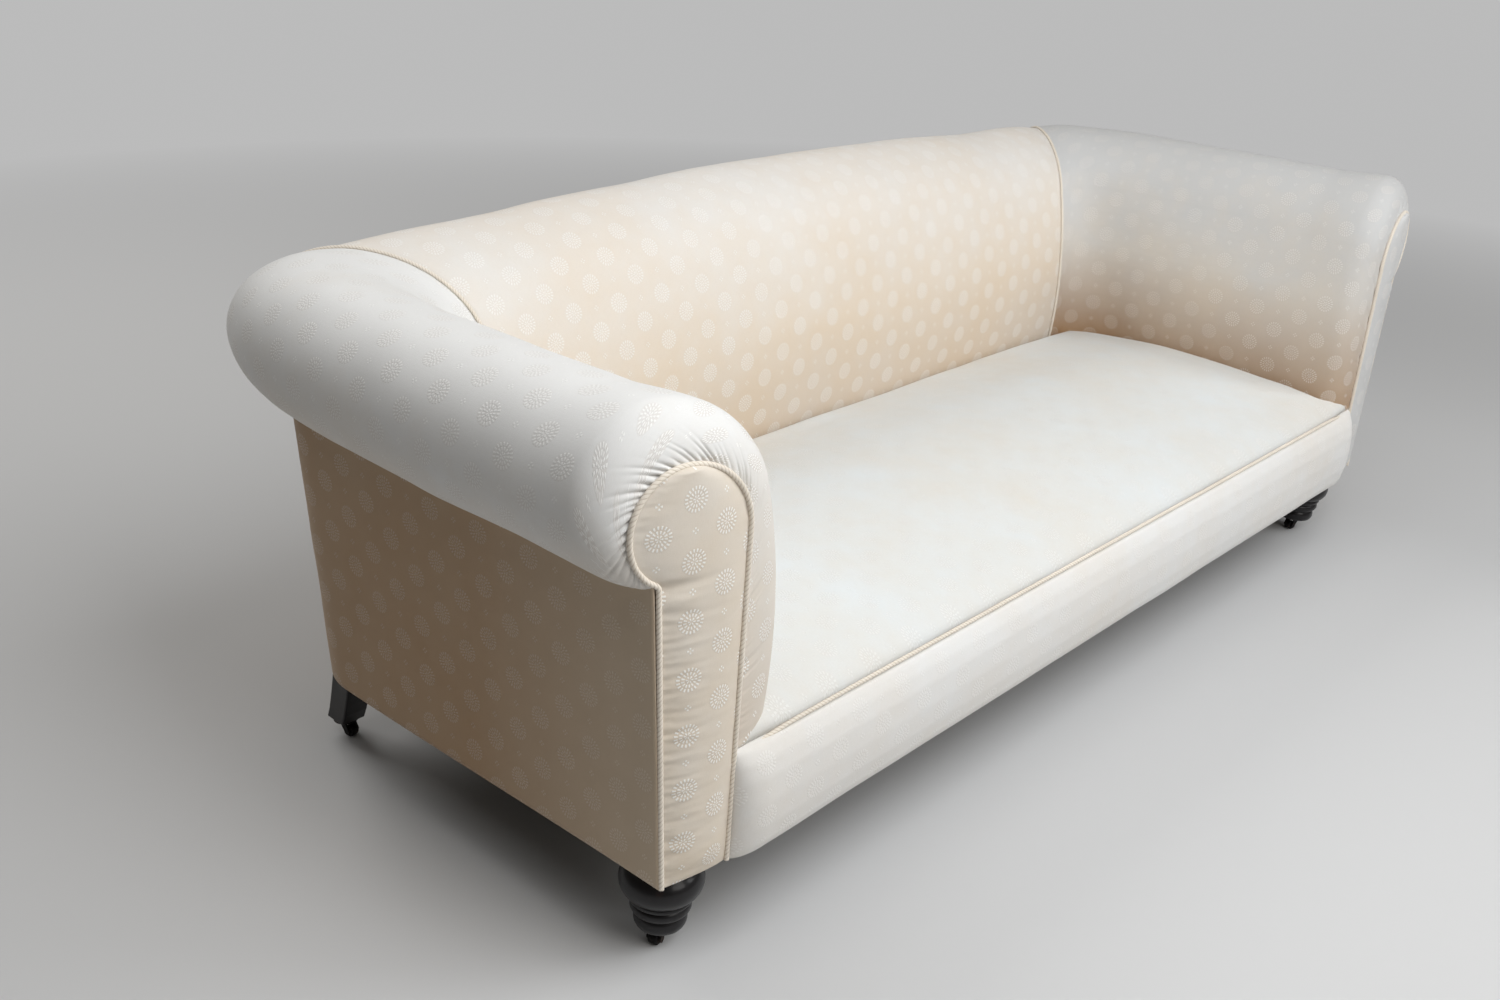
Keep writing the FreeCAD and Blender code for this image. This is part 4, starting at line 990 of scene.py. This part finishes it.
def border_mesh():
    """The front border: it bulges, rounds off at both ends and tucks under below."""
    s = sizes()
    end = s.half_width - s.facing_width - 0.0010
    corner = 0.040
    top = s.seat_edge + 0.002
    profile = Line([(-0.0050, top), (-0.0175, top - 0.006), (-0.0265, top - 0.020), (-0.0325, top * 0.72),
                    (-0.0350, top * 0.5), (-0.0335, top * 0.28), (-0.0285, top * 0.10), (-0.0225, 0.002),
                    (-0.0150, -0.0005), (-0.0020, 0.0008)])

    def place(a, t):
        turn = 2 * a - 1
        x = end * math.copysign(1 - (1 - abs(turn)) ** 1.35, turn)
        out = min(max((end - abs(x)) / corner, 0.0), 1.0)
        full = 0.10 + 0.90 * math.sqrt(max(1 - (1 - out) ** 2, 0.0))
        y, z = profile.at(t)
        y = y * full - 0.0060 * (1 - full) - 0.0005
        y += wander(x, 0.0, z, 0.12, 51) * 0.0013 * full
        return spot(x, y, z), (x, -t * profile.length)

    return drape(240, 44, place, (0, -1, 0))


# Outside covers

HEM_ROWS = 3
HEM_DEPTH = 0.020


def outside_line(lean):
    """Plan of the right outside arm cover, from the facing round the rear corner to the back."""
    s = sizes()
    edge = s.half_width + lean
    bend = s.corner_radius
    turn_y = s.body_depth + lean - bend
    front = facing_back(edge) - 0.0022
    points = []
    for k in range(40):
        bow = s.outside_bow * smooth_step(0.0, 1.0, k / 40)
        points.append((edge + bow, front + (turn_y - front) * k / 40))
    for k in range(33):
        turn = math.pi / 2 * k / 32
        x = edge - bend + (bend + s.outside_bow) * math.cos(turn)
        points.append((x, turn_y + bend * math.sin(turn)))
    return points


def hem(row):
    """How far a row of an outside cover is turned in below the frame, as a share."""
    return max(HEM_ROWS - row, 0) / HEM_ROWS


def outside_arm_mesh(side):
    along = 70
    s = sizes()
    top = s.roll_height - s.roll_radius + 0.016
    foot, head = Line(outside_line(0.0)), Line(outside_line(s.lean))

    def place(a, part):
        row = round(part * (along + HEM_ROWS))
        t = max(row - HEM_ROWS, 0) / along
        fx, fy = foot.at(a)
        hx, hy = head.at(a)
        x, y = fx + (hx - fx) * t, fy + (hy - fy) * t
        bow = 0.0035 * math.sin(math.pi * t) * math.sin(math.pi * min(a / 0.8, 1.0))
        slack = wander(0.0, y, t * top, 0.13, 61) * 0.0022 + wander(0.0, y * 2.2, t * top, 0.05, 62) * 0.0007
        x += slack * math.sin(math.pi * t) * smooth_step(0.0, 0.06, a) - bow
        middle = s.half_width - s.corner_radius
        inward = HEM_DEPTH * hem(row)
        x -= inward * min(max((x - middle) / s.corner_radius, 0.0), 1.0)
        y -= inward * min(max((y - s.body_depth + s.corner_radius) / s.corner_radius, 0.0), 1.0)
        return spot(side * x, y, t * top), (side * a * foot.length, t * top)

    return drape(150, along + HEM_ROWS, place, (side, 0.2, 0))


def outside_back_mesh():
    along = 44
    s = sizes()

    def place(a, part):
        row = round(part * (along + HEM_ROWS))
        t = max(row - HEM_ROWS, 0) / along
        half = s.half_width - s.corner_radius + s.lean * t
        x = (2 * a - 1) * half
        rise = s.back_crown * (1 - (x / half) ** 2 * 0.75)
        z = t * (s.roll_height - s.roll_radius + 0.006 + rise)
        y = s.body_depth + s.lean * t - HEM_DEPTH * hem(row)
        y += wander(x, 0.0, z, 0.17, 71) * 0.0020 * math.sin(math.pi * t)
        return spot(x, y - 0.0025 * math.sin(math.pi * t), z), (-x, z)

    return drape(130, along + HEM_ROWS, place, (0, 1, 0))


# Cords

def frames_along(points):
    """Points of a path with two directions square to it, carried along without twisting."""
    found = []
    normal = None
    for k, here in enumerate(points):
        before = points[max(k - 1, 0)]
        after = points[min(k + 1, len(points) - 1)]
        way = (after - before).normalized()
        if normal is None:
            normal = way.orthogonal().normalized()
        normal = (normal - way * normal.dot(way)).normalized()
        found.append((here, normal, way.cross(normal)))
    return found


def cord_mesh(points, diameter):
    """A three-strand twisted cord along a path."""
    line = Line([tuple(p) for p in points])
    steps = max(int(line.length / 0.0013), 24)
    around = 16
    path = frames_along([Vector(line.at(k / steps)) for k in range(steps + 1)])
    bm, verts = grid(around, steps)
    radius = diameter / 2
    cloth = {}
    for vert, a, t in verts:
        row = round(t * steps)
        here, normal, side = path[row]
        angle = 2 * math.pi * a
        lay = angle * 1.5 - math.pi * (row / steps) * line.length / (diameter * 0.9)
        swell = abs(math.cos(lay))
        size_here = radius * (0.84 + 0.16 * math.sqrt(swell))
        vert.co = here + (normal * math.cos(angle) + side * math.sin(angle)) * size_here
        cloth[vert] = (t * line.length, swell)
    write_cloth(bm, cloth)
    bmesh.ops.remove_doubles(bm, verts=bm.verts[:], dist=0.00001)
    bmesh.ops.holes_fill(bm, edges=[edge for edge in bm.edges if edge.is_boundary], sides=0)
    bmesh.ops.recalc_face_normals(bm, faces=bm.faces[:])
    return bm


def facing_cord_path(side):
    outer, inner = facing_edges()
    line = outer + inner[::-1][1:]
    return [spot(side * x, facing_back(x) - 0.0030, z) for x, z in line]


def corner_cord_path(side):
    line = section(drawn_roll(1.0), math.radians(-92))
    raised = []
    for k, (u, z) in enumerate(line):
        before = line[max(k - 1, 0)]
        after = line[min(k + 1, len(line) - 1)]
        du, dz = after[0] - before[0], after[1] - before[1]
        reach = math.hypot(du, dz)
        lift = 0.0016
        raised.append((u - dz / reach * lift, z + du / reach * lift))
    return [spot(side * seam_x(u), u - mitre(), z) for u, z in raised]


def seat_cord_path():
    """Along the seat's front edge, dipping where it runs in to the facings' cords."""
    s = sizes()
    end = s.half_width - s.facing_width - 0.0035
    path = []
    for k in range(-80, 81):
        x = end * k / 80
        near = smooth_step(0.730, 0.800, abs(x))
        hook = smooth_step(0.800, end, abs(x))
        y = -0.0125 + 0.0030 * near + 0.0015 * hook
        z = s.seat_edge + 0.0030 - 0.0065 * near - 0.0015 * hook
        path.append(spot(x, y, z + wander(x * 5, 0.0, 0.0, 1.0, 81) * 0.0012))
    return path


# Feet and legs

FOOT_RING = 0.0365
FOOT_BUN = 0.0495
LEG_BOTTOM = 0.037


def foot_profile(tall):
    """Half the front foot's outline, as distances from its axis and heights: rings, bead, bun and neck."""
    ring, big = FOOT_RING, FOOT_BUN
    spots = [(ring * 0.78, 0.0), (ring * 0.87, 0.1), (ring * 0.78, 0.175), (ring, 0.25),
             (ring * 0.88, 0.325), (ring * 1.06, 0.365), (ring, 0.405),
             (big * 0.86, 0.43), (big, 0.545), (big * 0.84, 0.76)]
    spots = [(r, share * tall) for r, share in spots]
    outline = [(0.0, 0.0), spots[0]]
    for first in (0, 2, 4, 7):
        a, b, c = spots[first:first + 3]
        x, z = circle_through(a, b, c)
        start, end = (math.atan2(p[1] - z, p[0] - x) for p in (a, c))
        steps = 24 if first == 7 else 10
        outline += sweep_points((x, z), math.hypot(a[0] - x, a[1] - z), start, end, steps)[first != 7:]
    return outline + [(big * 0.78, tall * 0.82), (big * 0.78, tall), (0.0, tall)]


def foot_mesh(node):
    low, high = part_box(node)
    middle = (low + high) / 2
    bm = bmesh.new()
    outline = [bm.verts.new((middle.x + r, middle.y, low.z + z)) for r, z in foot_profile(high.z - low.z)]
    edges = [bm.edges.new(pair) for pair in zip(outline, outline[1:])]
    bmesh.ops.spin(bm, geom=outline + edges, cent=(middle.x, middle.y, 0), axis=(0, 0, 1), dvec=(0, 0, 0),
                   angle=2 * math.pi, steps=72, use_merge=True, use_duplicate=False)
    bmesh.ops.remove_doubles(bm, verts=bm.verts[:], dist=0.00001)
    bmesh.ops.recalc_face_normals(bm, faces=bm.faces[:])
    return bm


def leg_mesh(node):
    """A square leg that tapers and rakes back, its edges eased."""
    low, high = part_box(node)
    top = high.x - low.x
    bottom = LEG_BOTTOM
    middle_x = (low.x + high.x) / 2
    top_y = low.y + top / 2
    bottom_y = high.y - bottom / 2
    bm = bmesh.new()
    bmesh.ops.create_cube(bm, size=1.0)
    upright = [edge for edge in bm.edges if abs(edge.verts[0].co.z - edge.verts[1].co.z) > 0.5]
    bmesh.ops.subdivide_edges(bm, edges=upright, cuts=5, use_grid_fill=True)
    for vert in bm.verts:
        share = vert.co.z + 0.5
        width = bottom + (top - bottom) * share
        y = bottom_y + (top_y - bottom_y) * share ** 0.8 + vert.co.y * width
        vert.co = Vector((middle_x + vert.co.x * width, y, low.z + (high.z - low.z) * share))
    sharp = [edge for edge in bm.edges if edge.calc_face_angle(0) > 0.8]
    bmesh.ops.bevel(bm, geom=sharp, offset=0.0025, segments=3, profile=0.5, affect="EDGES", material=-1)
    bmesh.ops.recalc_face_normals(bm, faces=bm.faces[:])
    return bm


# Operators

class SOFA_OT_stage(bpy.types.Operator):
    """Set up the floor, the light and the camera"""
    bl_idname = "sofa.stage"
    bl_label = "Stage"

    def execute(self, context):
        scene = context.scene
        scene.view_settings.view_transform = "Standard"
        self.make_floor(context)
        self.make_light(context)
        self.make_camera(context)
        return {"FINISHED"}

    def make_floor(self, context):
        bm = bmesh.new()
        bmesh.ops.create_grid(bm, x_segments=2, y_segments=2, size=30)
        mesh = bpy.data.meshes.new("floor")
        bm.to_mesh(mesh)
        bm.free()
        floor = bpy.data.objects.new("floor", mesh)
        context.scene.collection.objects.link(floor)
        mesh.materials.append(pale_floor())

    def make_light(self, context):
        settings = context.scene.sofa_stage
        world = context.scene.world or bpy.data.worlds.new("studio")
        context.scene.world = world
        world.use_nodes = True
        background = world.node_tree.nodes["Background"]
        background.inputs["Color"].default_value = (1.0, 0.94, 0.86, 1)
        background.inputs["Strength"].default_value = settings.world
        lamps = (("key", (1.7, -2.3, 2.2), 1.8, 1.0, (0.97, 0.985, 1.0)),
                 ("over", (-0.5, -1.3, 2.4), 1.4, 1.0, (0.96, 0.98, 1.0)),
                 ("front", (-0.6, -2.8, 1.9), 1.6, 0.58, (1.0, 0.98, 0.95)),
                 ("side", (-1.9, -0.2, 3.2), 1.6, 0.30, (0.97, 0.985, 1.0)),
                 ("rear", (-0.6, 3.0, 2.8), 2.4, 1.5, (1.0, 0.99, 0.97)))
        for name, place, reach, share, glow in lamps:
            light = bpy.data.lights.new(name, "AREA")
            light.energy = settings.key * share
            light.size = reach
            light.color = glow
            lamp = bpy.data.objects.new(name, light)
            lamp.location = place
            lamp.rotation_euler = (Vector((0, 0, 0.35)) - Vector(place)).to_track_quat("-Z", "Y").to_euler()
            context.scene.collection.objects.link(lamp)

    def make_camera(self, context):
        settings = context.scene.sofa_stage
        camera = bpy.data.objects.new("camera", bpy.data.cameras.new("camera"))
        camera.data.sensor_width = 36.0
        camera.data.lens = settings.lens
        camera.data.clip_start = 0.05
        az, pitch, roll = settings.azimuth, settings.pitch, settings.roll
        ahead = Vector((-math.sin(az) * math.cos(pitch), math.cos(az) * math.cos(pitch), -math.sin(pitch)))
        right = ahead.cross(Vector((0, 0, 1))).normalized()
        up = right.cross(ahead)
        tipped = right * math.cos(roll) + up * math.sin(roll)
        above = up * math.cos(roll) - right * math.sin(roll)
        turn = Matrix((tipped, above, -ahead)).transposed()
        camera.matrix_world = Matrix.Translation(Vector(settings.place)) @ turn.to_4x4()
        context.scene.collection.objects.link(camera)
        context.scene.camera = camera


class SOFA_OT_arms(bpy.types.Operator):
    """Cover both arms and their rolls"""
    bl_idname = "sofa.arms"
    bl_label = "Arms"

    def execute(self, context):
        cream = tint("cream")
        left = Look(cream, tint("faded"), 0.55, crown=0.55, soil=0.20, soil_top=0.46, motif=0.50, front=0.40)
        # The right arm is a shaded copy of the left: its grey pale colour is painted shade, and its heavy
        # darkening low down is partly soiling, partly painted shade.
        right = Look(cream, tint("right_shade_grey"), 0.62, crown=0.50, soil=0.84, soil_top=0.49, motif=0.34,
                     front=0.20)
        looks = {"left": left, "right": right}
        for name, side in SIDES:
            # The arms darken low down towards their rear, partly soiling, partly painted shade.
            cloth = damask(name + "_arm_damask", looks[name], 0.12 if side > 0 else 0.3)
            arm = piece(name + "_arm", arm_mesh(side, context.scene.sofa_detail), cloth,
                        [name + "_inside_arm_cover", name + "_arm_stuffing"])
            thicken(arm, 0.003)
        return {"FINISHED"}


class SOFA_OT_back(bpy.types.Operator):
    """Cover the back and its roll"""
    bl_idname = "sofa.back"
    bl_label = "Back"

    def execute(self, context):
        # The back darkens low down towards the seat, partly soiling, partly painted shade.
        look = Look(tint("peach"), tint("faded"), 0.18, crown=0.43, soil=0.20, soil_top=0.48,
                    motif=0.55, fill=0.25)
        cloth = damask("back_damask", look)
        back = piece("inside_back", back_mesh(context.scene.sofa_detail), cloth,
                     ["inside_back_cover", "back_stuffing"])
        thicken(back, 0.003)
        return {"FINISHED"}


class SOFA_OT_facings(bpy.types.Operator):
    """Make the two scroll facings"""
    bl_idname = "sofa.facings"
    bl_label = "Facings"

    def execute(self, context):
        faded = tint("faded")
        looks = {"left": Look(tint("cream"), faded, 0.34, motif=0.86),
                 # The right facing's grey ground is painted shade.
                 "right": Look(tint("right_shade_grey"), faded, 0.20, motif=0.60)}
        for name, side in SIDES:
            cloth = damask(name + "_facing_damask", looks[name])
            facing = piece(name + "_facing", facing_mesh(side), cloth, [name + "_front_facing"])
            thicken(facing, 0.002)
        return {"FINISHED"}


class SOFA_OT_seat(bpy.types.Operator):
    """Make the sprung seat and the border below it"""
    bl_idname = "sofa.seat"
    bl_label = "Seat"

    def execute(self, context):
        washed = Look(tint("worn"), tint("washed"), 0.70, soil=0.06, soil_top=0.32, motif=0.17,
                      front=0.15, mottle=1.6, fill=0.15)
        seat = piece("seat", seat_mesh(), damask("seat_damask", washed),
                     ["seat_cover", "seat_stuffing"])
        settle(seat, SEAT_PRESSURE, SEAT_SWELL, seat_hold)
        thicken(seat, 0.003)
        plain = Look(tint("cream"), tint("faded"), 0.95, motif=0.28, fill=0.3)
        border = piece("front_border", border_mesh(), damask("border_damask", plain),
                       ["front_border_cover", "front_border_stuffing"])
        thicken(border, 0.002)
        return {"FINISHED"}


class SOFA_OT_outside(bpy.types.Operator):
    """Cover the outside of the arms and back"""
    bl_idname = "sofa.outside"
    bl_label = "Outside covers"

    def execute(self, context):
        painted_shade, cream = tint("painted_shade"), tint("cream")
        # Painted shade: the outside arms get the tan ground and darken further towards their rear, and the
        # outside back is darkened all over to match.
        cloth = damask("outside_damask", Look(painted_shade, cream, 0.10, soil_top=5.0), 0.66, (-0.42, -0.08))
        rear_cloth = damask("outside_back_damask", Look(painted_shade, cream, 0.16, soil=0.56, soil_top=5.0))
        for name, side in SIDES:
            panel = piece(name + "_outside_arm", outside_arm_mesh(side), cloth,
                          [name + "_outside_arm_cover"])
            thicken(panel, 0.002)
            Line(outside_line(0.01)).length
        back = piece("outside_back", outside_back_mesh(), rear_cloth, ["outside_back_cover"])
        thicken(back, 0.002)
        return {"FINISHED"}


class SOFA_OT_cords(bpy.types.Operator):
    """Lay the twisted cords along the facings, the seat edge and the mitres"""
    bl_idname = "sofa.cords"
    bl_label = "Cords"

    def execute(self, context):
        cotton = twisted_cord()
        thick = sizes().cord
        for name, side in SIDES:
            piece(name + "_facing_piping", cord_mesh(facing_cord_path(side), thick), cotton,
                  [name + "_facing_cord"])
            piece(name + "_corner_piping", cord_mesh(corner_cord_path(side), thick * 0.8), cotton,
                  [name + "_corner_cord"])
        piece("seat_piping", cord_mesh(seat_cord_path(), thick), cotton, ["seat_edge_cord"])
        return {"FINISHED"}


class SOFA_OT_feet(bpy.types.Operator):
    """Turn the front feet and shape the back legs"""
    bl_idname = "sofa.feet"
    bl_label = "Feet"

    def execute(self, context):
        wood = ebonised()
        for name, side in SIDES:
            piece(name + "_turned_foot", foot_mesh(name + "_front_foot"), wood,
                  [name + "_front_foot"])
            leg = piece(name + "_square_leg", leg_mesh(name + "_back_leg"), wood,
                        [name + "_back_leg"])
            for polygon in leg.data.polygons:
                polygon.use_smooth = False
        return {"FINISHED"}


class SOFA_OT_finishes(bpy.types.Operator):
    """Give the frame, suspension and castors their finishes"""
    bl_idname = "sofa.finishes"
    bl_label = "Finishes"

    def execute(self, context):
        finishes = {
            "beech": plain_wood(),
            "webbing": coarse_cloth("jute_webbing", (0.16, 0.10, 0.05), (0.42, 0.32, 0.19), 0.0022),
            "spring_steel": spring_steel(),
            "hessian": coarse_cloth("hessian_cloth", (0.20, 0.14, 0.07), (0.50, 0.39, 0.24), 0.0030),
            "black_cloth": coarse_cloth("black_cotton", (0.01, 0.01, 0.01), (0.035, 0.034, 0.033), 0.0012),
            "castor_metal": castor_iron(),
            "wheel_metal": castor_iron(),
        }
        slots = {entry["node"]: entry["material_slot"] for entry in frame["record"]["subparts"]}
        for node, thing in frame["nodes"].items():
            finish = finishes.get(slots[node])
            if finish and not thing.hide_render:
                thing.data.materials.clear()
                thing.data.materials.append(finish)
        return {"FINISHED"}


class SOFA_PT_panel(bpy.types.Panel):
    """Lists the sofa's pieces"""
    bl_idname = "SOFA_PT_panel"
    bl_label = "Chesterfield Sofa"
    bl_space_type = "VIEW_3D"
    bl_region_type = "UI"
    bl_category = "Sofa"

    def draw(self, context):
        for operator in OPERATORS:
            self.layout.operator(operator.bl_idname)
        for group in ("sofa_sizes", "sofa_colours", "sofa_stage", "sofa_detail"):
            settings = getattr(context.scene, group)
            box = self.layout.box()
            for name in settings.__annotations__:
                box.prop(settings, name)


OPERATORS = (SOFA_OT_stage, SOFA_OT_arms, SOFA_OT_back, SOFA_OT_facings, SOFA_OT_seat, SOFA_OT_outside,
             SOFA_OT_cords, SOFA_OT_feet, SOFA_OT_finishes)
GROUPS = (("sofa_sizes", SofaSizes), ("sofa_colours", SofaColours), ("sofa_stage", SofaStage),
          ("sofa_detail", SofaDetail))


def register():
    for name, group in GROUPS:
        bpy.utils.register_class(group)
        setattr(bpy.types.Scene, name, PointerProperty(type=group))
    for operator in OPERATORS:
        bpy.utils.register_class(operator)
    bpy.utils.register_class(SOFA_PT_panel)


def unregister():
    bpy.utils.unregister_class(SOFA_PT_panel)
    for operator in reversed(OPERATORS):
        bpy.utils.unregister_class(operator)
    for name, group in reversed(GROUPS):
        delattr(bpy.types.Scene, name)
        bpy.utils.unregister_class(group)


def main():
    register()
    bpy.ops.sofa.stage()
    bpy.ops.sofa.arms()
    bpy.ops.sofa.back()
    bpy.ops.sofa.facings()
    bpy.ops.sofa.seat()
    bpy.ops.sofa.outside()
    bpy.ops.sofa.cords()
    bpy.ops.sofa.feet()
    bpy.ops.sofa.finishes()


if __name__ == "__main__":
    main()
